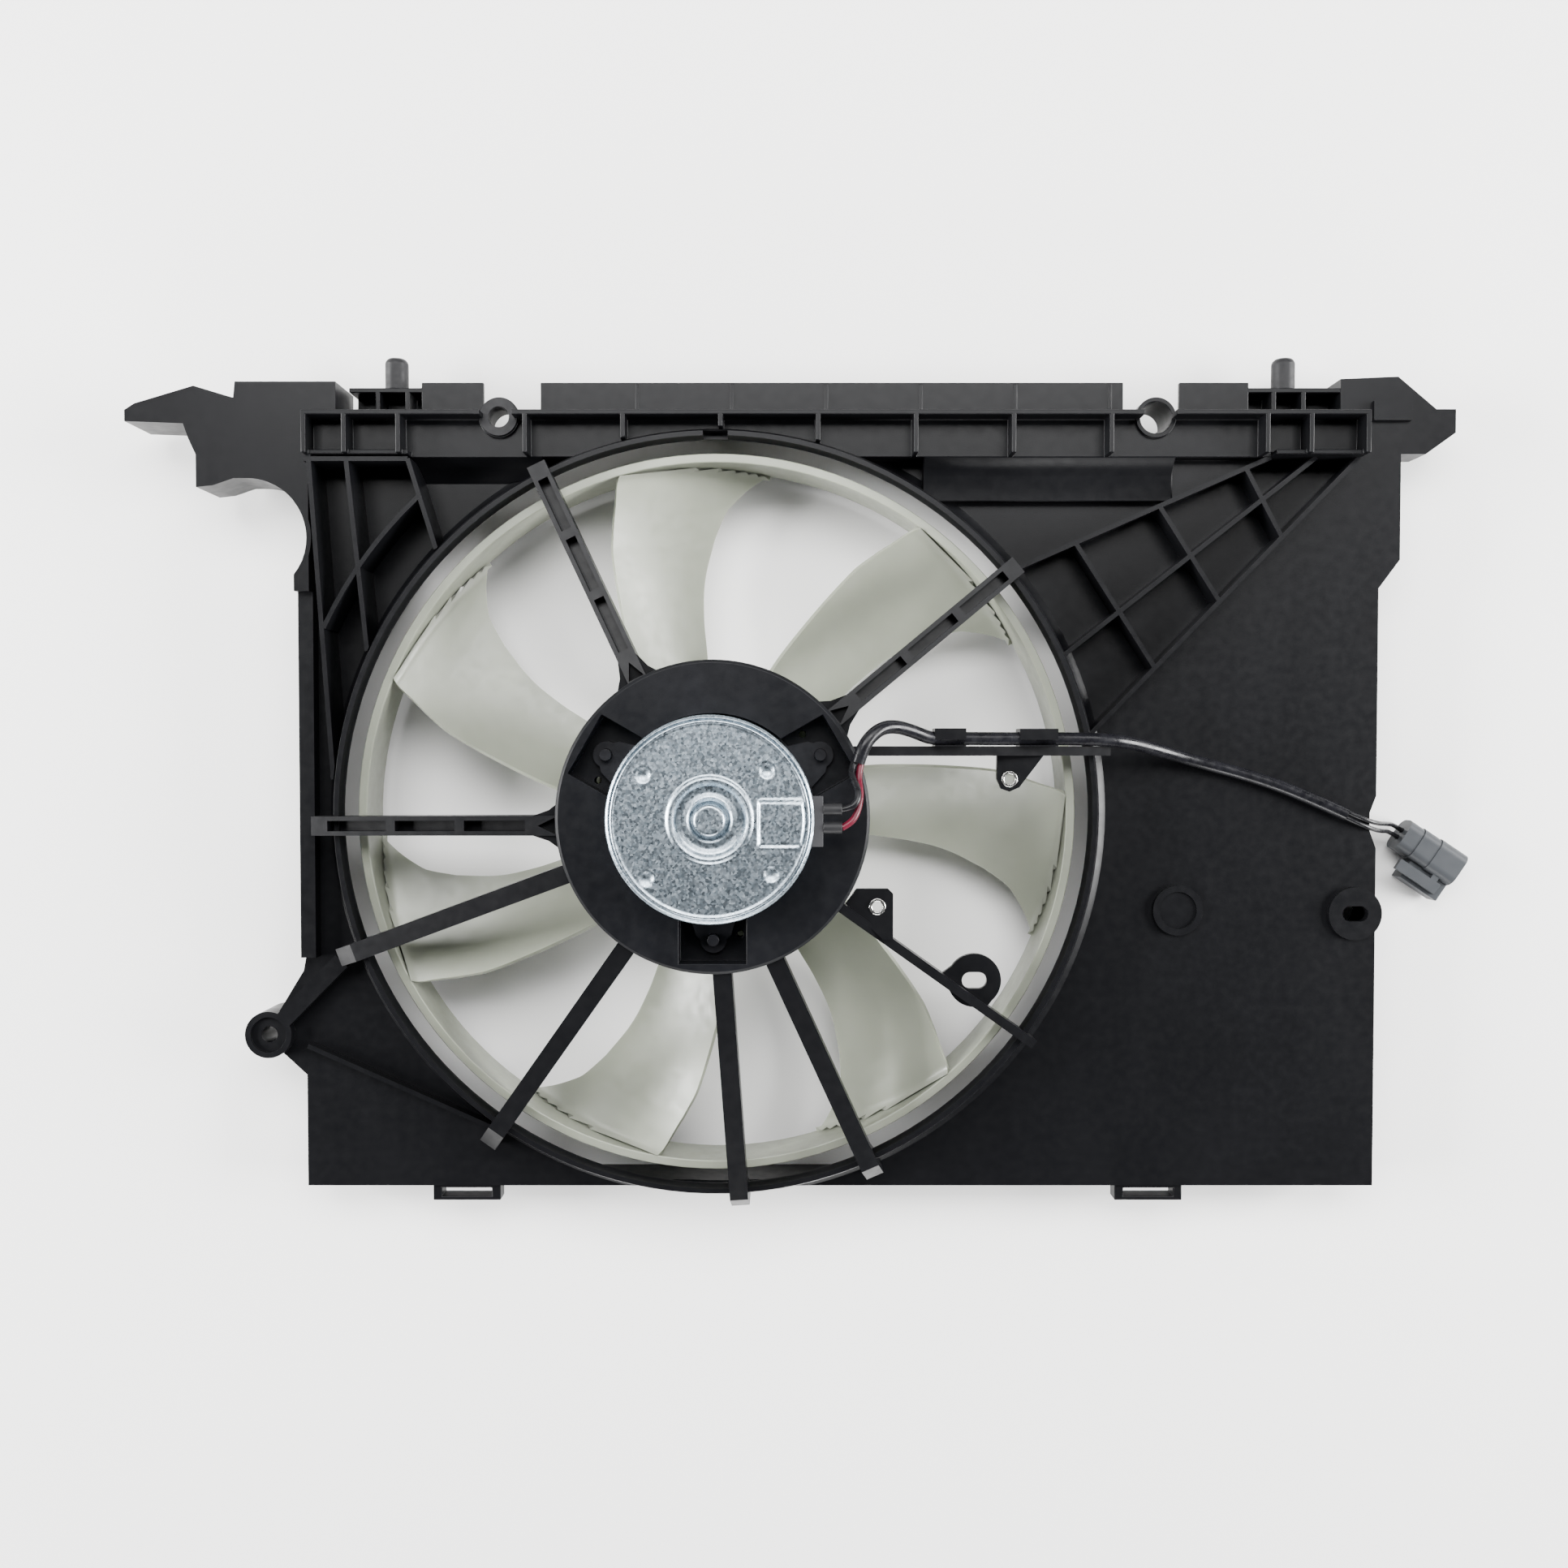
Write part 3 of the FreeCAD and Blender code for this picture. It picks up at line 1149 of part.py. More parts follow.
def build_motor_casing():
    """Motor can, the visible end plate and the flange with its three ears."""
    can = turned("can_form", [
        ("shaft_radius + 4", "can_boss_low"),
        ("can_boss_radius", "can_boss_low"),
        ("can_boss_radius", "can_low"),
        ("can_radius - 3", "can_low"),
        ("can_radius", "can_low + 3"),
        ("can_radius", "can_high"),
        ("can_radius - can_wall", "can_high"),
        ("can_radius - can_wall", "can_low + 4"),
        ("can_radius - can_wall - 2", "can_low + can_wall"),
        ("bearing_outer", "can_low + can_wall"),
        ("bearing_outer", "can_boss_low + 1.5"),
        ("shaft_radius + 4", "can_boss_low + 1.5"),
    ])
    node(can, "motor_can")
    plate = turned("plate_wall", [
        ("0", "rear_boss_high - 1.5"),
        ("0", "rear_boss_high"),
        ("rear_boss_radius", "rear_boss_high"),
        ("rear_boss_radius + 1", "plate_high"),
        ("plate_ridge_radius - plate_ridge_half", "plate_high - 1"),
        ("plate_ridge_radius", "plate_high + 1.2"),
        ("plate_ridge_radius + plate_ridge_half", "plate_high"),
        ("can_radius - 4", "plate_high"),
        ("can_radius", "plate_high - 2.5"),
        ("can_radius", "can_high"),
        ("can_radius - can_wall", "can_high"),
        ("can_radius - can_wall", "can_high + 1"),
        ("plate_ridge_radius + 1.5", "plate_high - 1.5"),
        ("bearing_outer + 1.5", "plate_high - 2.5"),
        ("bearing_outer + 1.5", "rear_boss_high - 14"),
        ("bearing_outer", "rear_boss_high - 14"),
        ("bearing_outer", "rear_boss_high - 7"),
        ("rear_boss_radius - 1.5", "rear_boss_high - 6"),
        ("rear_boss_radius - 1.5", "rear_boss_high - 1.5"),
    ])
    box = block("terminal_hump", ("hump_start", "can_radius + 0.7"), ("terminal_low + 0.2", "terminal_high - 1.8"),
                ("plate_high - 1", "plate_high + hump_height"))
    outlet = block("terminal_outlet", ("can_radius - terminal_inset", "can_radius + 9"),
                   ("terminal_low", "terminal_high"), ("can_high", "plate_high - 0.6"))
    hump_plate = fuse("plate_with_hump", [plate, box])
    node(cut("plate_form", hump_plate, [outlet]), "motor_end_plate")
    ears = []
    holes = []
    ear_top = "ear_floor + ear_thick"
    collar = turned("flange_collar", [
        ("can_radius", "ear_floor"),
        ("can_radius + 1.2", "ear_floor"),
        ("can_radius + 1.2", ear_top),
        ("can_radius", ear_top),
    ])
    for index, angle in enumerate(EARS):
        plate_part = place(prism(f"ear_{index}", [
            ("can_radius - 6", "-14"),
            ("ear_radius - 2", "-9"),
            ("ear_radius", "-ear_tip"),
            ("ear_radius", "ear_tip"),
            ("ear_radius - 2", "9"),
            ("can_radius - 6", "14"),
        ], ("ear_floor", ear_top)), turn=str(angle))
        tip = rod(f"ear_tip_{index}", "ear_radius", "0", ("ear_floor", ear_top), "ear_tip", str(angle))
        ears += [plate_part, tip]
        holes.append(rod(f"ear_hole_{index}", "ear_radius", "0", ("ear_floor - 1", ear_top + " + 1"),
                         "screw_radius", str(angle)))
    can_core = rod("flange_core", "0", "0", ("ear_floor - 5", ear_top + " + 5"), "can_radius")
    node(cut("flange_form", fuse("flange_solid", [collar] + ears), holes + [can_core]), "motor_flange")


def build_motor_inside():
    """Magnets, armature, commutator, brush gear and the two bearings."""
    ring = cut(
        "magnet_ring",
        rod("magnet_outside", "0", "0", ("magnet_low", "magnet_high"), "can_radius - can_wall"),
        [rod("magnet_inside", "0", "0", ("magnet_low", "magnet_high"), "magnet_inner")],
    )
    wedges = []
    for index in range(4):
        half = "magnet_span / 2"
        wedges.append(place(prism(f"magnet_sector_{index}", [
            ("0", "0"),
            (f"can_radius * 1.7 * cos({half})", f"-can_radius * 1.7 * sin({half})"),
            ("can_radius * 1.7", "0"),
            (f"can_radius * 1.7 * cos({half})", f"can_radius * 1.7 * sin({half})"),
        ], ("magnet_low", "magnet_high")), turn=f"{index} * 90 + 45"))
    node(common("magnet_form", ring, fuse("magnet_sectors", wedges)), "magnets")
    core = turned("core_wall", [
        ("shaft_radius", "core_low"),
        ("core_radius", "core_low"),
        ("core_radius", "core_high"),
        ("shaft_radius", "core_high"),
    ])
    slots = [
        block(f"core_slot_{index}", ("16", "core_radius + 1"), ("-1.4", "1.4"), ("core_low - 1", "core_high + 1"),
              f"{index} * 30")
        for index in range(12)
    ]
    node(cut("core_form", core, slots), "armature_core")
    coils = []
    for name, low in (("lower", "core_low - winding_height"), ("upper", "core_high")):
        coils.append(turned(f"winding_{name}", [
            ("winding_radius - 15", low),
            ("winding_radius", low),
            ("winding_radius", f"{low} + winding_height"),
            ("winding_radius - 15", f"{low} + winding_height"),
        ]))
    node(fuse("winding_form", coils), "windings")
    commutator_low = "core_high + winding_height"
    commutator_high = "rear_boss_high - 15"
    node(turned("commutator_form", [
        ("shaft_radius", commutator_low),
        ("commutator_radius + 2", commutator_low),
        ("commutator_radius + 2", f"{commutator_low} + 1.2"),
        ("commutator_radius", f"{commutator_low} + 1.2"),
        ("commutator_radius", commutator_high),
        ("shaft_radius", commutator_high),
    ]), "commutator")
    brush_z = (f"{commutator_low} + 1.8", f"{commutator_high} - 0.4")
    card_z = (f"{commutator_high} - 0.2", f"{commutator_high} + holder_thick - 0.4")
    card = turned("brush_card", [
        ("bearing_outer + 3", card_z[0]),
        ("can_radius - can_wall", card_z[0]),
        ("can_radius - can_wall", card_z[1]),
        ("bearing_outer + 3", card_z[1]),
    ])
    brushes = []
    boxes = []
    springs = []
    half = "brush_width / 2"
    for index, angle in enumerate(("90", "270")):
        start = "commutator_radius + brush_gap"
        end = f"{start} + brush_length"
        brushes.append(block(f"brush_{index}", (start, end), (f"-{half}", half), brush_z, angle))
        outer = block(f"brush_box_{index}", ("commutator_radius + 3", "commutator_radius + 26"),
                      (f"-{half} - 1.2", f"{half} + 1.2"), (f"{brush_z[0]} - 0.8", card_z[0]), angle)
        inner = block(f"brush_bore_{index}", ("commutator_radius", "commutator_radius + 24.5"),
                      (f"-{half}", half), (brush_z[0], card_z[0]), angle)
        boxes.append(cut(f"brush_case_{index}", outer, [inner]))
        spring_z = (f"{brush_z[0]} + 0.6", f"{brush_z[1]} - 0.6")
        springs.append(block(f"brush_spring_{index}", (end, "commutator_radius + 24.5"),
                             (f"-{half} + 0.6", f"{half} - 0.6"), spring_z, angle))
    node(fuse("holder_form", [card] + boxes), "brush_holder")
    node(fuse("brush_form", brushes), "brushes")
    node(fuse("spring_form", springs), "brush_springs")
    for label, low in (("front_bearing", "can_boss_low + 1.5"), ("rear_bearing", "rear_boss_high - 14")):
        node(turned(label + "_form", [
            ("shaft_radius + shaft_gap", low),
            ("bearing_outer", low),
            ("bearing_outer", f"{low} + bearing_height"),
            ("shaft_radius + shaft_gap", f"{low} + bearing_height"),
        ]), label)


def build_shaft_and_nut():
    """Motor shaft with its threaded end and the nut that holds the fan."""
    node(turned("shaft_form", [
        ("0", "shaft_low"),
        ("shaft_radius - 0.8", "shaft_low"),
        ("shaft_radius", "shaft_low + 0.8"),
        ("shaft_radius", "rear_boss_high - 7.2"),
        ("0", "rear_boss_high - 7.2"),
    ]), "motor_shaft")
    body = DOC.addObject("PartDesign::Body", "nut_body")
    sketch = body.newObject("Sketcher::SketchObject", "nut_outline")
    plane = next(item for item in body.Origin.OriginFeatures if item.Role == "XY_Plane")
    sketch.AttachmentSupport = (plane, [""])
    sketch.MapMode = "FlatFace"
    draw(sketch, [(f"nut_radius * cos({60 * index})", f"nut_radius * sin({60 * index})") for index in range(6)])
    pad = body.newObject("PartDesign::Pad", "nut_pad")
    pad.Profile = sketch
    bind(pad, Length="nut_height")
    bore_sketch = body.newObject("Sketcher::SketchObject", "nut_bore_outline")
    bore_sketch.AttachmentSupport = (plane, [""])
    bore_sketch.MapMode = "FlatFace"
    bore_sketch.addGeometry(Part.Circle(Vector(), Vector(0, 0, 1), size("shaft_radius")))
    bore_sketch.addConstraint(Sketcher.Constraint("Coincident", 0, 3, -1, 1))
    mark = bore_sketch.addConstraint(Sketcher.Constraint("Radius", 0, size("shaft_radius")))
    bore_sketch.setExpression(f"Constraints[{mark}]", bound("shaft_radius"))
    bore = body.newObject("PartDesign::Pocket", "nut_bore")
    bore.Profile = bore_sketch
    bore.Reversed = True
    bind(bore, Length="nut_height")
    bind(body, Placement__Base__z="hub_face - 3 - nut_height")
    node(body, "fan_nut")


def build_motor_trim():
    """Screws, terminal block, chokes and the metal inserts of the spoke tabs."""
    screws = []
    for index, angle in enumerate(EARS):
        head = rod(f"screw_head_{index}", "ear_radius", "0", ("ring_low - screw_head_height", "ring_low"),
                   "screw_head_radius", str(angle))
        stem = rod(f"screw_stem_{index}", "ear_radius", "0", ("ring_low", "ear_floor + ear_thick + 3.5"),
                   "screw_radius", str(angle))
        screws.append(fuse(f"screw_{index}", [head, stem]))
    node(fuse("screws_form", screws), "motor_screws")
    body = block("terminal_body", ("can_radius - terminal_inset", "can_radius + terminal_reach"),
                 ("terminal_low", "terminal_high"), ("can_high - 0.6", "plate_high - 0.6"))
    node(cut("terminal_form", body, [
        rod("terminal_clear", "0", "0", ("0", "can_high"), "can_radius"),
    ]), "terminal_block")
    boots = []
    for index, across in enumerate(("boot_low", "boot_high")):
        boot = DOC.addObject("Part::Cylinder", f"boot_{index}")
        boot.Placement.Rotation = FreeCAD.Rotation(Vector(0, 1, 0), 90)
        bind(boot, Radius="boot_radius", Height="boot_end - can_radius - terminal_reach",
             Placement__Base__x="can_radius + terminal_reach", Placement__Base__y=across,
             Placement__Base__z="boot_height")
        boots.append(boot)
    sleeves = node(fuse("boots_form", boots), "terminal_boots")
    chokes = []
    for index, angle in enumerate(("62", "118")):
        chokes.append(rod(f"choke_{index}", "choke_place", "0", ("magnet_high + 0.4", "rear_boss_high - 15.2"),
                          "choke_radius", angle))
    node(fuse("choke_form", chokes), "choke_coils")
    inserts = []
    for name in ("side", "corner"):
        x, y, top = (f"{name}_tab_{word}" for word in ("x", "y", "top"))
        tube = rod(f"{name}_insert_wall", x, y, (f"{top} - tab_plate - 0.6", f"{top} + 0.6"), "insert_outer")
        bore = rod(f"{name}_insert_bore", x, y, (f"{top} - 9", f"{top} + 9"), "insert_bore")
        inserts.append(cut(f"{name}_insert", tube, [bore]))
    node(fuse("inserts_form", inserts), "tab_inserts")
    return sleeves


def beside_barrel(point):
    """Route point moved along X with the barrel: level with the spokes in part, and beyond it in full."""
    x, y, z = point
    outer = size("barrel_outer")
    start = size("flare_end")
    if x > ROUTE_BARREL:
        x += outer - ROUTE_BARREL
    elif x > start:
        x = start + (x - start) * (outer - start) / (ROUTE_BARREL - start)
    return Vector(x, y, z)


def route(points, radius, label):
    """Round tube along straight runs joined by tangent arcs; prints the arc radii."""
    spots = [beside_barrel(point) for point in points]
    edges = []
    start = spots[0]
    radii = []
    for before, corner, after in zip(spots, spots[1:], spots[2:]):
        back = before - corner
        ahead = after - corner
        turn = math.pi - back.getAngle(ahead)
        reach = 0.45 * min(back.Length, ahead.Length)
        radii.append(reach / math.tan(turn / 2))
        back.normalize()
        ahead.normalize()
        first = corner + back * reach
        last = corner + ahead * reach
        inward = back + ahead
        inward.normalize()
        bow = radii[-1] / math.cos(turn / 2) - radii[-1]
        edges.append(Part.makeLine(start, first))
        edges.append(Part.Arc(first, corner + inward * bow, last).toShape())
        start = last
    edges.append(Part.makeLine(start, spots[-1]))
    path = Part.Wire(edges)
    heading = spots[1] - spots[0]
    profile = Part.Wire(Part.makeCircle(radius, spots[0], heading))
    tube = path.makePipeShell([profile], True, False)
    section = math.pi * radius ** 2 * path.Length
    print(label, "length", round(path.Length, 1), "least radius", round(min(radii), 1),
          "volume ratio", round(tube.Volume / section, 4))
    return tube


# Routes of the cords as drawn beside a barrel of this outer radius.
ROUTE_BARREL = 202.0
SLEEVE_ROUTE = (
    (72.2, 27.5, 96.5),
    (74.4, 34.2, 97.0),
    (78.2, 40.2, 95.8),
    (84.6, 44.9, 92.5),
    (92.4, 45.4, 88.0),
    (101.0, 43.0, 83.0),
    (110.5, 39.3, 78.0),
    (124.0, 39.6, 74.2),
    (146.0, 39.5, 69.6),
    (168.0, 39.6, 65.2),
    (188.0, 39.5, 61.6),
    (206.0, 39.0, 59.6),
    (220.0, 37.0, 53.0),
    (237.0, 33.2, 42.0),
    (258.0, 27.5, 35.2),
    (286.0, 20.2, 34.2),
    (314.0, 10.5, 33.8),
    (339.0, -1.0, 33.9),
)
RED_ROUTE = (
    (63.8, -3.8, 109.3),
    (68.6, -1.6, 108.2),
    (71.9, 4.4, 106.2),
    (73.4, 12.6, 102.8),
    (72.0, 20.6, 98.2),
    (73.75, 27.0, 96.62),
)
BLACK_ROUTE = (
    (63.8, 5.0, 109.3),
    (68.4, 5.8, 109.8),
    (71.6, 9.4, 109.0),
    (71.8, 14.2, 106.4),
    (69.6, 19.4, 101.8),
    (68.4, 23.8, 98.6),
    (70.65, 28.0, 96.5),
)
PAIR_ROUTES = (
    (
        (339.6, 0.4, 33.9),
        (348.5, -3.7, 34.0),
        (357.5, -6.0, 30.8),
        (366.5, -6.8, 20.5),
        (375.6, -7.6, 10.2),
        (386.6, -15.0, 8.5),
    ),
    (
        (338.4, -2.4, 33.9),
        (346.5, -6.2, 33.9),
        (355.5, -9.4, 31.0),
        (364.2, -10.8, 21.0),
        (373.2, -11.3, 10.2),
        (384.2, -18.7, 8.5),
    ),
)


def build_harness(boots):
    """Motor leads, taped sleeve with its clips, the two wires beyond it and the connector."""
    sleeve = node(
        shaped("sleeve_form", route(SLEEVE_ROUTE, size("sleeve_radius"), "harness_sleeve")), "harness_sleeve",
    )
    red = route(RED_ROUTE, size("wire_radius"), "lead_red")
    node(cut("red_trimmed", shaped("red_form", red), [sleeve, boots]), "lead_red")
    black = route(BLACK_ROUTE, size("wire_radius"), "lead_black")
    node(cut("black_trimmed", shaped("black_form", black), [sleeve, boots]), "lead_black")
    pair = [route(points, size("pair_radius"), "connector wire") for points in PAIR_ROUTES]
    wires = node(shaped("pair_form", Part.makeCompound(pair)), "connector_wires")
    return sleeve, wires


def rounded(name, base, radius):
    """Box with its four edges along the local X direction rounded."""
    DOC.recompute()
    item = DOC.addObject("Part::Fillet", name)
    item.Base = base
    reach = size(radius)
    lines = [
        (index, reach, reach) for index, edge in enumerate(base.Shape.Edges, start=1)
        if abs(edge.tangentAt(0).x) > 0.999
    ]
    item.Edges = lines
    return item


def build_connector(wires):
    """Grey two-way connector at the end of the wires, with its lock rail, seal and pins."""
    half = "connector_height / 2"
    front = "connector_length"
    rear = rounded("rear_rounded", block(
        "connector_rear", ("0", "connector_rear_end"), ("-connector_width + 0.8", "-0.8"),
        (f"0.8 - {half}", f"{half} - 0.8"),
    ), "connector_round")
    middle = rounded("middle_rounded", block(
        "connector_middle", ("connector_rear_end - 2", "connector_middle_end"),
        ("-connector_width + 0.4", "-0.4"), (f"0.4 - {half}", f"{half} - 0.4"),
    ), "connector_round")
    shroud = rounded("shroud_rounded", block(
        "connector_shroud", ("connector_floor - 2", front), ("-connector_width", "0"), (f"-{half}", half),
    ), "connector_round")
    mouth = rounded("mouth_rounded", block(
        "connector_mouth", ("connector_floor", f"{front} + 1"),
        ("-connector_width + connector_wall", "-connector_wall"),
        (f"connector_wall - {half}", f"{half} - connector_wall"),
    ), "connector_round - 1.6")
    wells = [
        DOC.addObject("Part::Cylinder", f"wire_well_{index}") for index in range(2)
    ]
    pins = []
    for index, (well, side) in enumerate(zip(wells, ("-", "+"))):
        across = f"-connector_width / 2 {side} wire_spacing / 2"
        well.Placement.Rotation = FreeCAD.Rotation(Vector(0, 1, 0), 90)
        bind(well, Radius="pair_radius + 0.4", Height="8", Placement__Base__x="-1", Placement__Base__y=across)
        pins.append(block(
            f"connector_pin_{index}", ("connector_floor - 4", f"{front} - 6"), (f"{across} - 1.2", f"{across} + 1.2"),
            ("-0.4", "0.4"),
        ))
    rail = block(
        "lock_rail", ("lock_start", front), ("-connector_width - lock_width", "-connector_width + 0.5"),
        (f"1.5 - {half}", f"{half} - 5"),
    )
    lever = block(
        "lock_lever", ("lock_start - 6", f"{front} - 4"),
        ("-connector_width - lock_width + 2", "-connector_width - 2"),
        (f"{half} - 5", f"{half} - 2.5"),
    )
    bridge = block(
        "lock_bridge", ("connector_floor + 4", "connector_floor + 8"),
        ("-connector_width - lock_width + 2", "-connector_width + 0.8"),
        (f"{half} - 5", f"{half} - 2.5"),
    )
    pins_form = fuse("pins_pair", pins)
    body = cut("connector_body", fuse("connector_joined", [rear, middle, shroud]), [mouth] + wells + pins)
    lock = cut("connector_lock_form", fuse("lock_joined", [rail, lever, bridge]), [shroud, middle, rear])
    seal_outer = rounded("seal_rounded", block(
        "seal_outside", ("connector_floor", "connector_floor + 3"),
        ("-connector_width + connector_wall", "-connector_wall"),
        (f"connector_wall - {half}", f"{half} - connector_wall"),
    ), "connector_round - 1.6")
    seal_inner = block(
        "seal_inside", ("connector_floor - 1", "connector_floor + 4"),
        ("-connector_width + connector_wall + 2", "-connector_wall - 2"),
        (f"connector_wall + 2 - {half}", f"{half} - connector_wall - 2"),
    )
    seal = cut("seal_form", seal_outer, [seal_inner])
    for item, label in ((body, "connector_housing"), (lock, "connector_lock"), (seal, "connector_seal"),
                        (pins_form, "connector_pins")):
        item.Placement = FreeCAD.Placement(Vector(), FreeCAD.Rotation(Vector(0, 0, 1), 1))
        bind(item, Placement__Base__x="connector_x", Placement__Base__y="connector_y",
             Placement__Base__z=f"{half}", Placement__Rotation__Angle="connector_turn")
        node(cut("housing_trimmed", item, [wires]) if item is body else item, label)


def build_clips(sleeve, rail):
    """Two clips that hold the sleeve beside the right-hand spoke, and the rubber ring in a bolt hole."""
    clips = []
    gates = []
    near = "side_spoke_offset + thin_spoke_width / 2"
    for index, (start, end, middle) in enumerate((("111.8", "127.6", 75.4), ("156.4", "176", 65.5))):
        low = f"{middle} - sleeve_radius - clip_wall - 1.5"
        high = f"{middle} + sleeve_radius + clip_wall + 0.8"
        far = "side_spoke_offset + clip_reach"
        gate_y = (f"{near} + 0.6", f"{far} - 5.6")
        clips.append(block(f"clip_{index}", (start, end), (near, far), (low, high)))
        gates.append(block(f"clip_gate_{index}", (start, end), gate_y, (f"{middle}", f"{high} + 1")))
    node(cut("clips_form", fuse("clips_joined", clips), gates + [sleeve]), "harness_clips")
    ring = turned("grommet_wall", [
        ("bolt_hole_radius - 3", "rail_floor + 2.2"),
        ("bolt_hole_radius - 3", "rail_floor - wall - 2"),
        ("bolt_hole_radius", "rail_floor - wall - 2"),
        ("bolt_hole_radius", "rail_floor + 2"),
        ("bolt_hole_radius + 1.4", "rail_floor + 2"),
        ("bolt_hole_radius + 1.4", "rail_floor + 3.4"),
        ("bolt_hole_radius - 3", "rail_floor + 3.4"),
    ])
    bind(ring, Placement__Base__x="bolt_left", Placement__Base__y="bolt_line")
    node(cut("grommet_form", ring, [rail]), "bolt_grommet")


def check_and_write():
    """Stop on any failed object or bad shape, then write each sub-part."""
    DOC.recompute()
    for item in DOC.Objects:
        if "Invalid" in item.State or "Error" in item.State:
            raise RuntimeError(f"{item.Name} failed: {item.State}")
    for item in NODES:
        if item.Shape.isNull() or not item.Shape.isValid() or not item.Shape.Solids:
            raise RuntimeError(f"{item.Label} has no valid solid")
    os.makedirs("parts", exist_ok=True)
    for item in NODES:
        item.Shape.exportStep(f"parts/{item.Label}.step")
        print(item.Label, len(item.Shape.Solids), round(item.Shape.Volume / 1000, 1))


BARREL = build_barrel()
RAIL = build_rail()
PANEL = build_panel(RAIL)
build_left_bracket()
build_right_bracket()
build_tabs()
build_pins()
build_spokes(BARREL, PANEL, RAIL)
build_ring()
build_fan()
build_motor_casing()
build_motor_inside()
build_shaft_and_nut()
SLEEVE, WIRES = build_harness(build_motor_trim())
build_clips(SLEEVE, RAIL)
build_connector(WIRES)
check_and_write()
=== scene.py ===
"""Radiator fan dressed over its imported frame: moulded shroud, ring fan, flat motor and harness."""
import logging
import math
from dataclasses import dataclass, field
from enum import Enum
from typing import Sequence

import bmesh
import bpy
from mathutils import Matrix, Vector


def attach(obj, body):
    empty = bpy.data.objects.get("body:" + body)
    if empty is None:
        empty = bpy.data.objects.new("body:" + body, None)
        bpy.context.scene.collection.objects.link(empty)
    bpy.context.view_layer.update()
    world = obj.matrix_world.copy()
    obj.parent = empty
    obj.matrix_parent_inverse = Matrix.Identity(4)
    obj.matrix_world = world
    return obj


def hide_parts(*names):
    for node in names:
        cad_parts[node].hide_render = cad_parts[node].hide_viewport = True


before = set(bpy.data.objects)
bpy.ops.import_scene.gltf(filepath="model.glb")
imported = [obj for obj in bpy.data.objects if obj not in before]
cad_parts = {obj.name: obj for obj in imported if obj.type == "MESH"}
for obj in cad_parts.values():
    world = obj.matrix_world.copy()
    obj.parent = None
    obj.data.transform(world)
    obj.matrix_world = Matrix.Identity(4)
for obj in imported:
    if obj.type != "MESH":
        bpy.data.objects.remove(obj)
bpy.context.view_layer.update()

MM = 0.001
LOG = logging.getLogger("radiator_fan")

Point = tuple[float, float, float]
Pair = tuple[float, float]
Colour = tuple[float, float, float]

# Sockets of a mix node that blends two colours.
MIX_SHARE, MIX_FIRST, MIX_SECOND, MIX_RESULT = 0, 6, 7, 2

# Least turns, in degrees, of an edge that stays sharp on a moulding and on a thin sheet, of a corner
# that is rounded, and of two faces that aren't joined into one.
SHARP_TURN = 32.0
SHEET_SHARP_TURN = 50.0
ROUNDED_TURN = 38.0
JOINED_TURN = 0.6

# How near, in metres, points count as one, and a corner counts as lying in a flush plane.
MERGE_NEAR = 2e-6
FLUSH_NEAR = 4e-5

CORNER_SEGMENTS = 2


class Body(str, Enum):
    """The two bodies that pieces ride on."""

    FIXED = "root"
    TURNING = "rotor"


class Edge(Enum):
    """How round the corners of a moulding or pressing are, in metres."""

    CRISP = 0.00025
    SOFT = 0.0005
    ROUND = 0.0009


def shader(name: str) -> tuple[bpy.types.Material, bpy.types.ShaderNodeTree, bpy.types.ShaderNode]:
    """Starts a material.

    Args:
        name: Name of the material.

    Returns:
        The material, its node tree and its surface shader.
    """
    material = bpy.data.materials.new(name)
    material.use_nodes = True
    tree = material.node_tree
    return material, tree, tree.nodes["Principled BSDF"]


def add_noise(tree: bpy.types.ShaderNodeTree, scale: float, detail: float = 3.0,
              stretch: Point = (1.0, 1.0, 1.0)) -> bpy.types.NodeSocket:
    """Adds noise that follows the object.

    Args:
        tree: Node tree of the material.
        scale: Noise cells in a metre.
        detail: Octaves of finer noise.
        stretch: Scale along each axis before the noise.

    Returns:
        The noise's value socket.
    """
    place = tree.nodes.new("ShaderNodeTexCoord")
    mapping = tree.nodes.new("ShaderNodeMapping")
    mapping.inputs["Scale"].default_value = stretch
    noise = tree.nodes.new("ShaderNodeTexNoise")
    noise.inputs["Scale"].default_value = scale
    noise.inputs["Detail"].default_value = detail
    tree.links.new(place.outputs["Object"], mapping.inputs["Vector"])
    tree.links.new(mapping.outputs["Vector"], noise.inputs["Vector"])
    return noise.outputs["Fac"]


def add_range(tree: bpy.types.ShaderNodeTree, value: bpy.types.NodeSocket, low: float, high: float,
              start: float = 0.3, end: float = 0.7) -> bpy.types.NodeSocket:
    """Adds a step that spreads a value between two numbers.

    Args:
        tree: Node tree of the material.
        value: Socket to spread.
        low: Result at the start.
        high: Result at the end.
        start: Value that gives low.
        end: Value that gives high.

    Returns:
        The spread value's socket.
    """
    spread = tree.nodes.new("ShaderNodeMapRange")
    spread.inputs["From Min"].default_value = start
    spread.inputs["From Max"].default_value = end
    spread.inputs["To Min"].default_value = low
    spread.inputs["To Max"].default_value = high
    tree.links.new(value, spread.inputs["Value"])
    return spread.outputs["Result"]


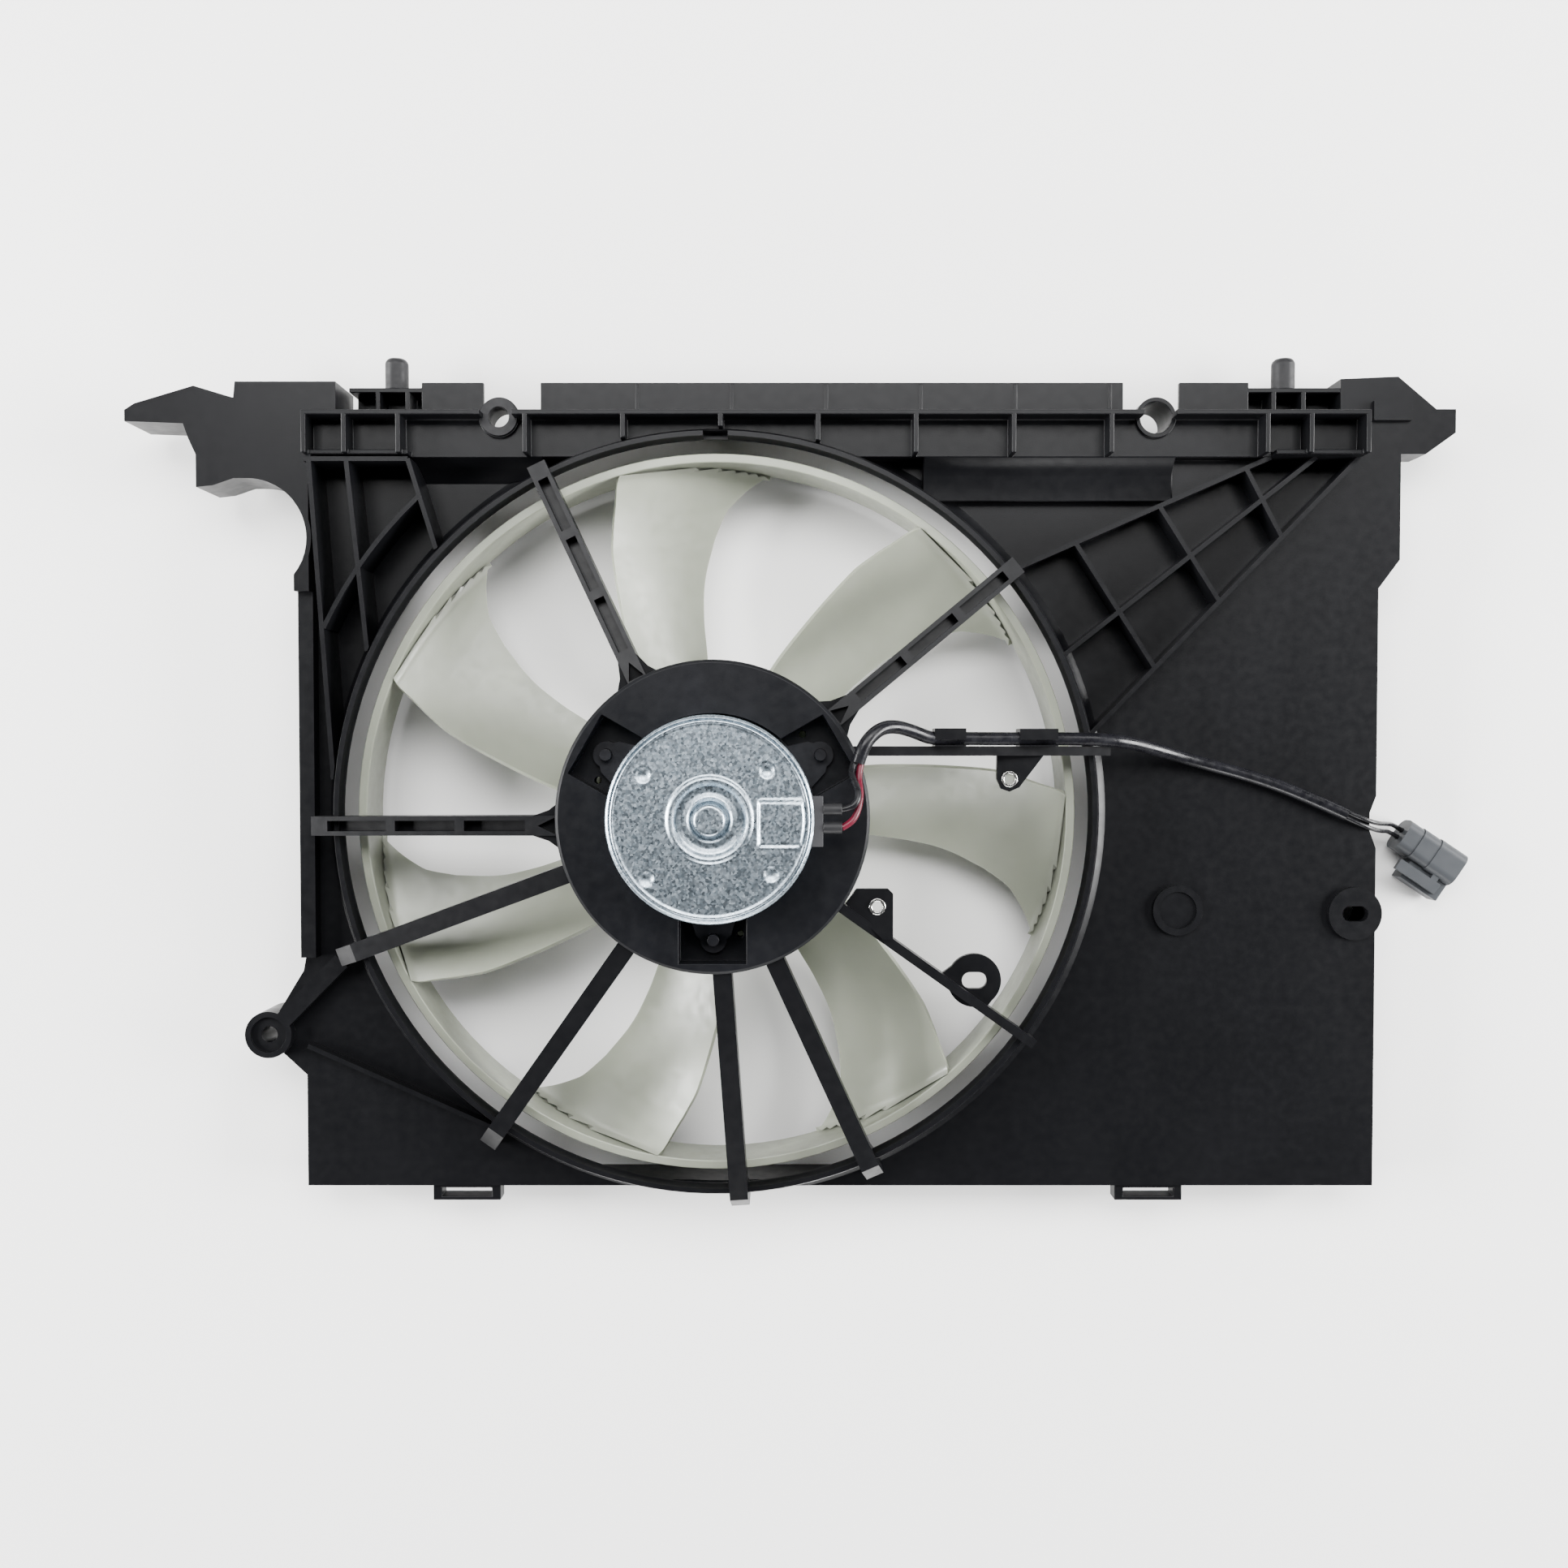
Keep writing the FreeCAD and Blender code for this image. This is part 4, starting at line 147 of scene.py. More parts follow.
def add_blend(tree: bpy.types.ShaderNodeTree, share: bpy.types.NodeSocket, first: Colour,
              second: Colour) -> bpy.types.NodeSocket:
    """Adds a mix of two colours.

    Args:
        tree: Node tree of the material.
        share: Socket that says how much of the second colour shows.
        first: Colour where the share is 0.
        second: Colour where the share is 1.

    Returns:
        The mixed colour's socket.
    """
    mix = tree.nodes.new("ShaderNodeMix")
    mix.data_type = "RGBA"
    mix.inputs[MIX_FIRST].default_value = (*first, 1.0)
    mix.inputs[MIX_SECOND].default_value = (*second, 1.0)
    tree.links.new(share, mix.inputs[MIX_SHARE])
    return mix.outputs[MIX_RESULT]


def add_bump(tree: bpy.types.ShaderNodeTree, surface: bpy.types.ShaderNode,
             height: bpy.types.NodeSocket, strength: float, depth: float) -> None:
    """Bumps a surface.

    Args:
        tree: Node tree of the material.
        surface: Surface shader.
        height: Socket with the bump's height.
        strength: How strongly the bump shows.
        depth: Height of the bump in metres.
    """
    bump = tree.nodes.new("ShaderNodeBump")
    bump.inputs["Strength"].default_value = strength
    bump.inputs["Distance"].default_value = depth
    tree.links.new(height, bump.inputs["Height"])
    tree.links.new(bump.outputs["Normal"], surface.inputs["Normal"])


@dataclass(frozen=True)
class MouldedPlastic:
    """Opaque plastic with a fine moulded texture and faint flow marks."""

    name: str
    deep: Colour
    pale: Colour
    smooth: float = 0.36
    rough: float = 0.54
    grain: float = 1500.0
    grain_strength: float = 0.22
    grain_depth: float = 0.00012
    marks: float = 40.0
    marks_stretch: Point = (1.0, 0.45, 1.0)
    gloss_finer: float = 5.0
    sheen: float = 0.14

    def material(self) -> bpy.types.Material:
        """Builds the material.

        Returns:
            The material.
        """
        material, tree, surface = shader(self.name)
        marks = add_noise(tree, self.marks, 6.0, self.marks_stretch)
        tone = add_blend(tree, add_range(tree, marks, 0.0, 1.0), self.deep, self.pale)
        tree.links.new(tone, surface.inputs["Base Color"])
        gloss = add_noise(tree, self.marks * self.gloss_finer, 4.0)
        tree.links.new(add_range(tree, gloss, self.smooth, self.rough), surface.inputs["Roughness"])
        surface.inputs["Specular IOR Level"].default_value = self.sheen
        add_bump(tree, surface, add_noise(tree, self.grain, 2.0), self.grain_strength, self.grain_depth)
        return material


@dataclass(frozen=True)
class NaturalPlastic:
    """Uncoloured plastic that lets some light through."""

    name: str
    body: Colour
    thick: Colour
    smooth: float = 0.28
    rough: float = 0.42
    clouds: float = 22.0
    gloss: float = 160.0
    scatter: float = 0.3
    scatter_radius: Point = (0.9, 1.0, 0.75)
    scatter_depth: float = 0.006
    grain: float = 900.0
    grain_strength: float = 0.08
    grain_depth: float = 0.0001

    def material(self) -> bpy.types.Material:
        """Builds the material.

        Returns:
            The material.
        """
        material, tree, surface = shader(self.name)
        cloud = add_range(tree, add_noise(tree, self.clouds), 0.0, 1.0)
        tree.links.new(add_blend(tree, cloud, self.body, self.thick), surface.inputs["Base Color"])
        gloss = add_noise(tree, self.gloss)
        tree.links.new(add_range(tree, gloss, self.smooth, self.rough), surface.inputs["Roughness"])
        surface.inputs["Subsurface Weight"].default_value = self.scatter
        surface.inputs["Subsurface Radius"].default_value = self.scatter_radius
        surface.inputs["Subsurface Scale"].default_value = self.scatter_depth
        add_bump(tree, surface, add_noise(tree, self.grain, 2.0), self.grain_strength, self.grain_depth)
        return material


@dataclass(frozen=True)
class PlatedSteel:
    """Bright plated steel with a crystalline spangle."""

    name: str
    dull: Colour
    bright: Colour
    spangle: float = 900.0
    smooth: float = 0.2
    rough: float = 0.4
    relief_strength: float = 0.12
    relief_depth: float = 0.00006

    def material(self) -> bpy.types.Material:
        """Builds the material.

        Returns:
            The material.
        """
        material, tree, surface = shader(self.name)
        place = tree.nodes.new("ShaderNodeTexCoord")
        cells = tree.nodes.new("ShaderNodeTexVoronoi")
        cells.inputs["Scale"].default_value = self.spangle
        cells.inputs["Randomness"].default_value = 1.0
        tree.links.new(place.outputs["Object"], cells.inputs["Vector"])
        parts = tree.nodes.new("ShaderNodeSeparateColor")
        tree.links.new(cells.outputs["Color"], parts.inputs["Color"])
        share = add_range(tree, parts.outputs["Red"], 0.0, 1.0, 0.0, 1.0)
        tree.links.new(add_blend(tree, share, self.dull, self.bright), surface.inputs["Base Color"])
        gloss = add_range(tree, parts.outputs["Green"], self.smooth, self.rough, 0.0, 1.0)
        tree.links.new(gloss, surface.inputs["Roughness"])
        surface.inputs["Metallic"].default_value = 1.0
        add_bump(tree, surface, parts.outputs["Blue"], self.relief_strength, self.relief_depth)
        return material


@dataclass(frozen=True)
class Insulation:
    """Soft wire insulation, tape or rubber with a low sheen."""

    name: str
    deep: Colour
    pale: Colour
    roughness: float = 0.32
    smoother: float = 0.08
    rougher: float = 0.12
    tone: float = 120.0
    gloss: float = 300.0
    ripple: float = 700.0
    ripple_strength: float = 0.12
    ripple_depth: float = 0.00015
    sheen: float = 0.22

    def material(self) -> bpy.types.Material:
        """Builds the material.

        Returns:
            The material.
        """
        material, tree, surface = shader(self.name)
        share = add_range(tree, add_noise(tree, self.tone), 0.0, 1.0)
        tree.links.new(add_blend(tree, share, self.deep, self.pale), surface.inputs["Base Color"])
        gloss = add_range(tree, add_noise(tree, self.gloss), self.roughness - self.smoother,
                          self.roughness + self.rougher)
        tree.links.new(gloss, surface.inputs["Roughness"])
        surface.inputs["Specular IOR Level"].default_value = self.sheen
        ripple = add_noise(tree, self.ripple, 2.0)
        add_bump(tree, surface, ripple, self.ripple_strength, self.ripple_depth)
        return material


Finish = MouldedPlastic | NaturalPlastic | PlatedSteel | Insulation

SHROUD_PLASTIC = MouldedPlastic("shroud_black_plastic", (0.0028, 0.0029, 0.0035),
                                (0.0038, 0.0039, 0.0046), smooth=0.31, rough=0.39)
RING_PLASTIC = MouldedPlastic("mount_ring_plastic", (0.0022, 0.0024, 0.0032),
                              (0.0048, 0.0050, 0.0062), smooth=0.34, rough=0.46)
HOLDER_PLASTIC = MouldedPlastic("holder_plastic", (0.022, 0.022, 0.024), (0.036, 0.036, 0.038),
                                smooth=0.45, rough=0.62)
CONNECTOR_PLASTIC = MouldedPlastic("connector_grey_plastic", (0.036, 0.039, 0.043),
                                   (0.046, 0.049, 0.053), smooth=0.34, rough=0.46,
                                   grain=900.0, grain_strength=0.08)
COATED_STEEL = MouldedPlastic("black_coated_steel", (0.006, 0.006, 0.007), (0.012, 0.012, 0.014),
                              smooth=0.32, rough=0.48, grain=1100.0, grain_strength=0.16, marks=90.0)
FERRITE = MouldedPlastic("ferrite", (0.03, 0.03, 0.032), (0.055, 0.055, 0.057),
                         smooth=0.5, rough=0.7, grain=2200.0, grain_strength=0.3, marks=60.0)
FAN_PLASTIC = NaturalPlastic("fan_natural_plastic", (0.20, 0.212, 0.170), (0.245, 0.257, 0.210))
ZINC = PlatedSteel("zinc_plated_steel", (0.26, 0.32, 0.37), (0.46, 0.53, 0.59),
                   smooth=0.26, rough=0.42)
FASTENER = PlatedSteel("fastener_steel", (0.42, 0.42, 0.43), (0.62, 0.62, 0.63),
                       smooth=0.28, rough=0.45)
INSERT = PlatedSteel("insert_steel", (0.70, 0.69, 0.66), (0.92, 0.91, 0.88),
                     spangle=1200.0, smooth=0.16, rough=0.3)
SHAFT_STEEL = PlatedSteel("ground_steel", (0.52, 0.52, 0.53), (0.66, 0.66, 0.67),
                          spangle=1600.0, smooth=0.18, rough=0.3)
COPPER = PlatedSteel("enamelled_copper", (0.50, 0.20, 0.09), (0.78, 0.36, 0.18),
                     spangle=1400.0, smooth=0.25, rough=0.4)
CORE_STEEL = PlatedSteel("core_laminations", (0.18, 0.18, 0.19), (0.3, 0.3, 0.31),
                         spangle=1000.0, smooth=0.4, rough=0.6)
RUBBER = Insulation("black_rubber", (0.006, 0.006, 0.007), (0.012, 0.012, 0.013), roughness=0.5)
TAPE = Insulation("sleeve_tape", (0.003, 0.003, 0.004), (0.008, 0.008, 0.010),
                  roughness=0.26, ripple=420.0)
RED_WIRE = Insulation("red_insulation", (0.060, 0.003, 0.010), (0.085, 0.005, 0.015), roughness=0.3)
BLACK_WIRE = Insulation("black_insulation", (0.004, 0.004, 0.005), (0.009, 0.009, 0.010),
                        roughness=0.28)

BUILT_MATERIALS: dict[str, bpy.types.Material] = {}


def finish_material(finish: Finish) -> bpy.types.Material:
    """Material of a finish, built once.

    Args:
        finish: Finish to look up.

    Returns:
        Its material.
    """
    if finish.name not in BUILT_MATERIALS:
        BUILT_MATERIALS[finish.name] = finish.material()
    return BUILT_MATERIALS[finish.name]


# Planes where two nodes of one moulding meet flush, as axis and millimetres. No corner is rounded there.
FLUSH_PLANES: tuple[tuple[int, float], ...] = (
    (0, -224.0),
    (0, -125.9),
    (0, -102.7),
    (0, 220.2),
    (0, 243.4),
    (1, 197.3),
    (2, 27.5),
)


def weigh_corners(mesh: bpy.types.Mesh) -> None:
    """Marks the corners that are rounded: those that turn far enough and lie in no flush plane.

    Args:
        mesh: Mesh to mark.
    """
    shape = bmesh.new()
    shape.from_mesh(mesh)
    layer = shape.edges.layers.float.new("bevel_weight_edge")
    limit = math.radians(ROUNDED_TURN)
    for edge in shape.edges:
        flush = any(all(abs(vert.co[axis] - place * MM) < FLUSH_NEAR for vert in edge.verts)
                    for axis, place in FLUSH_PLANES)
        edge[layer] = 0.0 if flush or edge.calc_face_angle(0.0) < limit else 1.0
    shape.to_mesh(mesh)
    shape.free()


def mark_sharp(shape: bmesh.types.BMesh, angle: float) -> None:
    """Makes faces smooth and keeps an edge sharp where its faces turn by more than an angle.

    Args:
        shape: Shape to mark.
        angle: Least turn of a sharp edge, in degrees.
    """
    limit = math.radians(angle)
    for face in shape.faces:
        face.smooth = True
    for edge in shape.edges:
        edge.smooth = len(edge.link_faces) == 2 and edge.calc_face_angle(0.0) < limit


def make_piece(shape: bmesh.types.BMesh, name: str, finish: Finish, body: Body,
               replaced: Sequence[str] = (), edge: Edge | None = None,
               angle: float = SHARP_TURN) -> bpy.types.Object:
    """Turns a shape into a finished piece that rides on a body.

    Args:
        shape: Shape in metres, in the frame's own place; freed here.
        name: Name of the piece.
        finish: Finish to dress it in.
        body: Body that it rides on.
        replaced: Nodes that it stands for.
        edge: Roundness of its corners, or None to leave them.
        angle: Least turn of a sharp edge, in degrees.

    Returns:
        The piece.
    """
    mark_sharp(shape, angle)
    mesh = bpy.data.meshes.new(name)
    shape.to_mesh(mesh)
    shape.free()
    piece = bpy.data.objects.new(name, mesh)
    bpy.context.scene.collection.objects.link(piece)
    mesh.materials.append(finish_material(finish))
    if edge is not None:
        bevel = piece.modifiers.new("rounded_corners", "BEVEL")
        bevel.width = edge.value
        bevel.segments = CORNER_SEGMENTS
        bevel.limit_method = "WEIGHT"
        weigh_corners(mesh)
        weigh = piece.modifiers.new("even_shading", "WEIGHTED_NORMAL")
        weigh.keep_sharp = True
    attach(piece, body.value)
    if replaced:
        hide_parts(*replaced)
    LOG.info("%s: %d faces", name, len(mesh.polygons))
    return piece


def solid_of(node: str, joined: bool = True) -> bmesh.types.BMesh:
    """Merged copy of a node's solid.

    Args:
        node: Name of the node.
        joined: Whether its flat faces are joined, which a face round a raised pad doesn't take.

    Returns:
        The copy.
    """
    shape = bmesh.new()
    shape.from_mesh(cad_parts[node].data)
    bmesh.ops.remove_doubles(shape, verts=shape.verts, dist=MERGE_NEAR)
    if joined:
        bmesh.ops.dissolve_limit(shape, angle_limit=math.radians(JOINED_TURN), verts=shape.verts,
                                 edges=shape.edges)
    return shape


def dress_node(node: str, finish: Finish, body: Body, edge: Edge = Edge.SOFT,
               joined: bool = True) -> bpy.types.Object:
    """Rounded copy of a node that stands for it."""
    return make_piece(solid_of(node, joined), node + "_moulded", finish, body, [node], edge)


def dress_hidden(node: str, finish: Finish) -> None:
    """Gives a node that keeps its own shape a finished material.

    Args:
        node: Name of the node.
        finish: Finish to dress it in.
    """
    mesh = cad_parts[node].data
    mesh.materials.clear()
    mesh.materials.append(finish_material(finish))


@dataclass
class Shroud:
    """Panel, barrel, rail, brackets, spokes and motor ring of the moulded shroud."""

    slot: str = "shroud"
    plain: tuple[str, ...] = ("shroud_panel", "shroud_skirt", "corner_lug", "bolt_collars",
                              "top_rail", "left_bracket", "right_bracket", "upper_tabs",
                              "fan_barrel", "stator_spokes", "harness_clips")
    rounder: str = "stator_spokes"
    unjoined: str = "right_bracket"

    def build(self) -> None:
        """Builds every piece of the shroud."""
        for node in self.plain:
            edge = Edge.ROUND if node == self.rounder else Edge.SOFT
            dress_node(node, SHROUD_PLASTIC, Body.FIXED, edge, node != self.unjoined)
        dress_node("motor_mount_ring", RING_PLASTIC, Body.FIXED, Edge.ROUND)
        dress_node("guide_pins", RUBBER, Body.FIXED, Edge.ROUND)
        dress_node("bolt_grommet", RUBBER, Body.FIXED)
        dress_node("tab_inserts", INSERT, Body.FIXED, Edge.CRISP)


# Plan of one blade, in shares of the ring's inner radius: distance out, leading edge, trailing edge.
BLADE_STATIONS: tuple[Point, ...] = (
    (0.330, -0.030, 0.140),
    (0.450, -0.048, 0.156),
    (0.565, -0.059, 0.162),
    (0.675, -0.082, 0.163),
    (0.790, -0.132, 0.158),
    (0.870, -0.186, 0.140),
    (0.920, -0.262, 0.125),
    (0.965, -0.370, 0.113),
    (1.030, -0.480, 0.098),
)


def smooth_value(numbers: Sequence[float], share: float) -> float:
    """Value of a smooth curve through four numbers, between the two in the middle.

    Args:
        numbers: The four numbers.
        share: Share of the way from the second to the third.

    Returns:
        The value.
    """
    earlier, a, b, later = numbers
    return 0.5 * (2 * a + (b - earlier) * share + (2 * earlier - 5 * a + 4 * b - later) * share ** 2
                  + (3 * a - earlier - 3 * b + later) * share ** 3)


@dataclass
class RingFan:
    """Hub, blades and outer ring of the fan, one natural-coloured moulding; lengths in metres."""

    ring_inner: float = 185.5 * MM
    hub_radius: float = 69.0 * MM
    blades: int = 7
    low: float = 20.0 * MM
    high: float = 44.0 * MM
    sag: float = 3.5 * MM
    half_thick: float = 1.15 * MM
    turn: float = math.radians(-2.5)
    stations: tuple[Point, ...] = BLADE_STATIONS
    slot: str = "fan"
    columns: int = 72
    rows: int = 20
    in_hub: float = 3 * MM
    in_ring: float = 0.8 * MM
    overshoot: float = 1.03
    furthest: float = 1.06
    halvings: int = 30
    place_digits: int = 5
    fillet: float = 2.2 * MM
    fillet_reach: float = 4 * MM
    edge_radius: float = 0.7 * MM
    edge_segments: int = 3
    edge_turn: float = math.radians(60)

    def edges_at(self, share: float) -> Pair:
        """Leading and trailing edge at a distance out, all in shares of the ring's radius.

        Args:
            share: Distance out.

        Returns:
            The leading and the trailing edge across the blade.
        """
        rows = self.stations
        beyond = next((i for i, row in enumerate(rows) if row[0] >= share), 1)
        index = max(1, min(len(rows) - 2, beyond))
        before, after = rows[index - 1], rows[index]
        span = (share - before[0]) / (after[0] - before[0])
        around = (rows[max(0, index - 2)], before, after, rows[min(len(rows) - 1, index + 1)])
        _, leading, trailing = (smooth_value(column, span) for column in zip(*around))
        return leading, trailing

    def surface_point(self, out: float, across: float) -> Vector:
        """Point of a blade's middle surface.

        Args:
            out: Distance out along the blade's own axis, in metres.
            across: Share of the way from the leading to the trailing edge.

        Returns:
            The point before the blade is turned to its place.
        """
        leading, trailing = self.edges_at(out / self.ring_inner)
        side = (leading + (trailing - leading) * across) * self.ring_inner
        height = self.low + (self.high - self.low) * across - 4 * self.sag * across * (1 - across)
        return Vector((out, side, height))

    def on_ring(self, across: float, reach: float) -> Vector:
        """Point where a line along the blade meets the ring.

        Args:
            across: Share of the way from the leading to the trailing edge.
            reach: Distance from the fan's axis where the blade ends, in metres.

        Returns:
            The point before the blade is turned to its place.
        """
        low, high = self.hub_radius, reach * self.furthest
        for _ in range(self.halvings):
            middle = (low + high) / 2
            point = self.surface_point(middle, across)
            if math.hypot(point.x, point.y) > reach:
                high = middle
            else:
                low = middle
        return self.surface_point(low, across)

    def thickness_at(self, vert: bmesh.types.BMVert) -> float:
        """Half thickness of a blade, which grows into its fillets at the hub and the ring.

        Args:
            vert: Vertex of the blade before it is turned to its place.

        Returns:
            The half thickness in metres.
        """
        distance = math.hypot(vert.co.x, vert.co.y)
        hub_gap = max(0.0, distance - self.hub_radius)
        ring_gap = max(0.0, self.ring_inner - distance)
        grow = sum(self.fillet * max(0.0, 1 - gap / self.fillet_reach) ** 2
                   for gap in (hub_gap, ring_gap))
        return self.half_thick + grow

    def place_key(self, vert: bmesh.types.BMVert) -> tuple[float, ...]:
        """Rounded place of a vertex, by which its twin on the other skin is found."""
        return tuple(round(value, self.place_digits) for value in vert.co)

    def blade(self, shape: bmesh.types.BMesh, angle: float) -> None:
        """Adds one blade to a shape.

        Args:
            shape: Shape that takes the blade.
            angle: Place of the blade round the axis, in radians.
        """
        sheet = bmesh.new()
        bmesh.ops.create_grid(sheet, x_segments=self.columns, y_segments=self.rows, size=0.5)
        start = self.hub_radius - self.in_hub
        reach = self.ring_inner + self.in_ring
        upper = list(sheet.verts)
        for vert in upper:
            share, across = vert.co.x + 0.5, vert.co.y + 0.5
            point = self.surface_point(start + (reach * self.overshoot - start) * share, across)
            if math.hypot(point.x, point.y) > reach:
                point = self.on_ring(across, reach)
            vert.co = point
        bmesh.ops.recalc_face_normals(sheet, faces=sheet.faces)
        sheet.normal_update()
        normals = {vert: vert.normal.copy() for vert in sheet.verts}
        made = bmesh.ops.extrude_face_region(sheet, geom=sheet.faces[:])
        lower = [item for item in made["geom"] if isinstance(item, bmesh.types.BMVert)]
        by_place = {self.place_key(vert): normals[vert] for vert in upper}
        for vert in lower:
            vert.co = vert.co - by_place[self.place_key(vert)] * self.thickness_at(vert)
        for vert in upper:
            vert.co = vert.co + normals[vert] * self.thickness_at(vert)
        bmesh.ops.recalc_face_normals(sheet, faces=sheet.faces)
        bmesh.ops.rotate(sheet, verts=sheet.verts, cent=Vector(), matrix=Matrix.Rotation(angle, 3, "Z"))
        spare = bpy.data.meshes.new("blade_spare")
        sheet.to_mesh(spare)
        sheet.free()
        shape.from_mesh(spare)
        bpy.data.meshes.remove(spare)

    def build_blades(self) -> None:
        """Builds the blades as one piece."""
        shape = bmesh.new()
        for index in range(self.blades):
            self.blade(shape, self.turn + index * 2 * math.pi / self.blades)
        piece = make_piece(shape, "fan_blades_moulded", FAN_PLASTIC, Body.TURNING,
                           ["fan_blades"], None, SHEET_SHARP_TURN)
        bevel = piece.modifiers.new("rounded_edges", "BEVEL")
        bevel.width = self.edge_radius
        bevel.segments = self.edge_segments
        bevel.limit_method = "ANGLE"
        bevel.angle_limit = self.edge_turn

    def build(self) -> None:
        """Builds every piece of the fan."""
        self.build_blades()
        dress_node("fan_hub", FAN_PLASTIC, Body.TURNING, Edge.ROUND)
        dress_node("fan_ring", FAN_PLASTIC, Body.TURNING, Edge.SOFT)
        dress_hidden("hub_insert", SHAFT_STEEL)
        dress_node("fan_nut", FASTENER, Body.TURNING, Edge.CRISP)
        dress_node("motor_shaft", SHAFT_STEEL, Body.TURNING, Edge.CRISP)


# Section of the pressed end plate in millimetres: distance from the axis, height.
PLATE_SECTION: tuple[Pair, ...] = (
    (0.0, 118.0),
    (6.6, 118.0),
    (7.6, 117.2),
    (8.5, 112.8),
    (9.3, 111.5),
    (10.1, 112.2),
    (11.0, 111.3),
    (13.6, 110.8),
    (16.4, 111.4),
    (18.2, 112.7),
    (19.5, 113.2),
    (20.5, 112.8),
    (21.6, 112.0),
    (46.2, 112.0),
    (47.3, 112.6),
    (48.0, 112.4),
    (48.6, 111.5),
    (49.4, 112.0),
    (50.3, 111.6),
    (50.8, 110.4),
    (50.8, 108.0),
)
# Places of the four round dimples in millimetres.
DIMPLES: tuple[Pair, ...] = ((-32.2, 21.7), (27.6, 23.9), (-30.6, -28.4), (29.8, -26.1))


@dataclass
class EndPlate:
    """Pressed end plate: rolled rim, ridge round the nose, four dimples and the channel over the leads.

    All its lengths are in millimetres.
    """

    turns: int = 240
    step: float = 0.7
    merge: float = 0.001
    flat: Pair = (21.6, 46.2)
    dimple_radius: float = 3.9
    dimple_depth: float = 1.3
    lip_height: float = 0.25
    lip_share: float = 1.1
    lip_width: float = 0.15
    channel: Point = (22.9, -13.5, 9.9)
    channel_height: float = 1.6
    channel_slope: float = 1.5
    outlet: Pair = (-9.5, 9.9)
    outlet_start: float = 50.0
    outlet_top: float = 111.4
    wall: float = 1.2
    wall_shrink: float = 0.972
    foot: float = 107.9

    def section_points(self) -> list[Pair]:
        """Section with the long stretches cut into short steps.

        Returns:
            Distances from the axis and heights.
        """
        points = [PLATE_SECTION[0]]
        for (r0, z0), (r1, z1) in zip(PLATE_SECTION, PLATE_SECTION[1:]):
            steps = max(1, round(math.hypot(r1 - r0, z1 - z0) / self.step))
            points += [(r0 + (r1 - r0) * i / steps, z0 + (z1 - z0) * i / steps)
                       for i in range(1, steps + 1)]
        return points

    def raised(self, x: float, y: float) -> float:
        """Height that the dimples and the channel add at a place.

        Args:
            x: Place across.
            y: Place along.

        Returns:
            The added height.
        """
        distance = math.hypot(x, y)
        inner, outer = self.flat
        if not inner < distance < outer:
            return 0.0
        start, low, high = self.channel
        shares = (min(1.0, max(0.0, gap / self.channel_slope))
                  for gap in (x - start, y - low, high - y, outer - distance))
        added = self.channel_height * math.prod(shares)
        for place in DIMPLES:
            share = math.dist((x, y), place) / self.dimple_radius
            lip = max(0.0, 1 - abs(share - self.lip_share) / self.lip_width)
            added += self.lip_height * lip - self.dimple_depth * max(0.0, 1 - share ** 2)
        return added

    def in_outlet(self, face: bmesh.types.BMFace) -> bool:
        """Whether a face is in the gap of the rim that the terminals come out of.

        Args:
            face: Face of the outer skin.

        Returns:
            True where it is.
        """
        x, y, z = face.calc_center_median() / MM
        low, high = self.outlet
        return z < self.outlet_top and x > self.outlet_start and low < y < high

    def build(self) -> None:
        """Builds the end plate: the section spun round the axis, pressed, and given its wall."""
        shape = bmesh.new()
        line = [shape.verts.new((distance * MM, 0.0, height * MM))
                for distance, height in self.section_points()]
        edges = [shape.edges.new(ends) for ends in zip(line, line[1:])]
        bmesh.ops.spin(shape, geom=line + edges, cent=Vector(), axis=Vector((0.0, 0.0, 1.0)),
                       angle=2 * math.pi, steps=self.turns, use_merge=True)
        bmesh.ops.remove_doubles(shape, verts=shape.verts, dist=self.merge * MM)
        for vert in shape.verts:
            vert.co.z += self.raised(vert.co.x / MM, vert.co.y / MM) * MM
        cut = [face for face in shape.faces if self.in_outlet(face)]
        bmesh.ops.delete(shape, geom=cut, context="FACES")
        made = bmesh.ops.extrude_face_region(shape, geom=shape.faces[:])
        for item in made["geom"]:
            if isinstance(item, bmesh.types.BMVert):
                height = max(self.foot * MM, item.co.z - self.wall * MM)
                item.co = Vector((item.co.x * self.wall_shrink, item.co.y * self.wall_shrink, height))
        bmesh.ops.recalc_face_normals(shape, faces=shape.faces)
        make_piece(shape, "motor_end_plate_pressed", ZINC, Body.FIXED, ["motor_end_plate"],
                   None, SHEET_SHARP_TURN)


@dataclass
class Motor:
    """Flat motor: can, pressed end plate, flange, and the parts inside."""

    inside: dict[str, Finish] = field(default_factory=lambda: {
        "magnets": FERRITE,
        "armature_core": CORE_STEEL,
        "windings": COPPER,
        "commutator": COPPER,
        "brush_holder": HOLDER_PLASTIC,
        "brushes": FERRITE,
        "brush_springs": SHAFT_STEEL,
        "front_bearing": SHAFT_STEEL,
        "rear_bearing": SHAFT_STEEL,
        "choke_coils": COPPER,
    })

    def build(self) -> None:
        """Builds every piece of the motor."""
        for node, finish in self.inside.items():
            dress_hidden(node, finish)
        dress_node("motor_can", ZINC, Body.FIXED, Edge.ROUND)
        EndPlate().build()
        dress_node("motor_flange", COATED_STEEL, Body.FIXED, Edge.CRISP)
        dress_node("motor_screws", COATED_STEEL, Body.FIXED, Edge.CRISP)
        dress_node("terminal_block", HOLDER_PLASTIC, Body.FIXED, Edge.CRISP)
        dress_node("terminal_boots", RUBBER, Body.FIXED, Edge.CRISP)


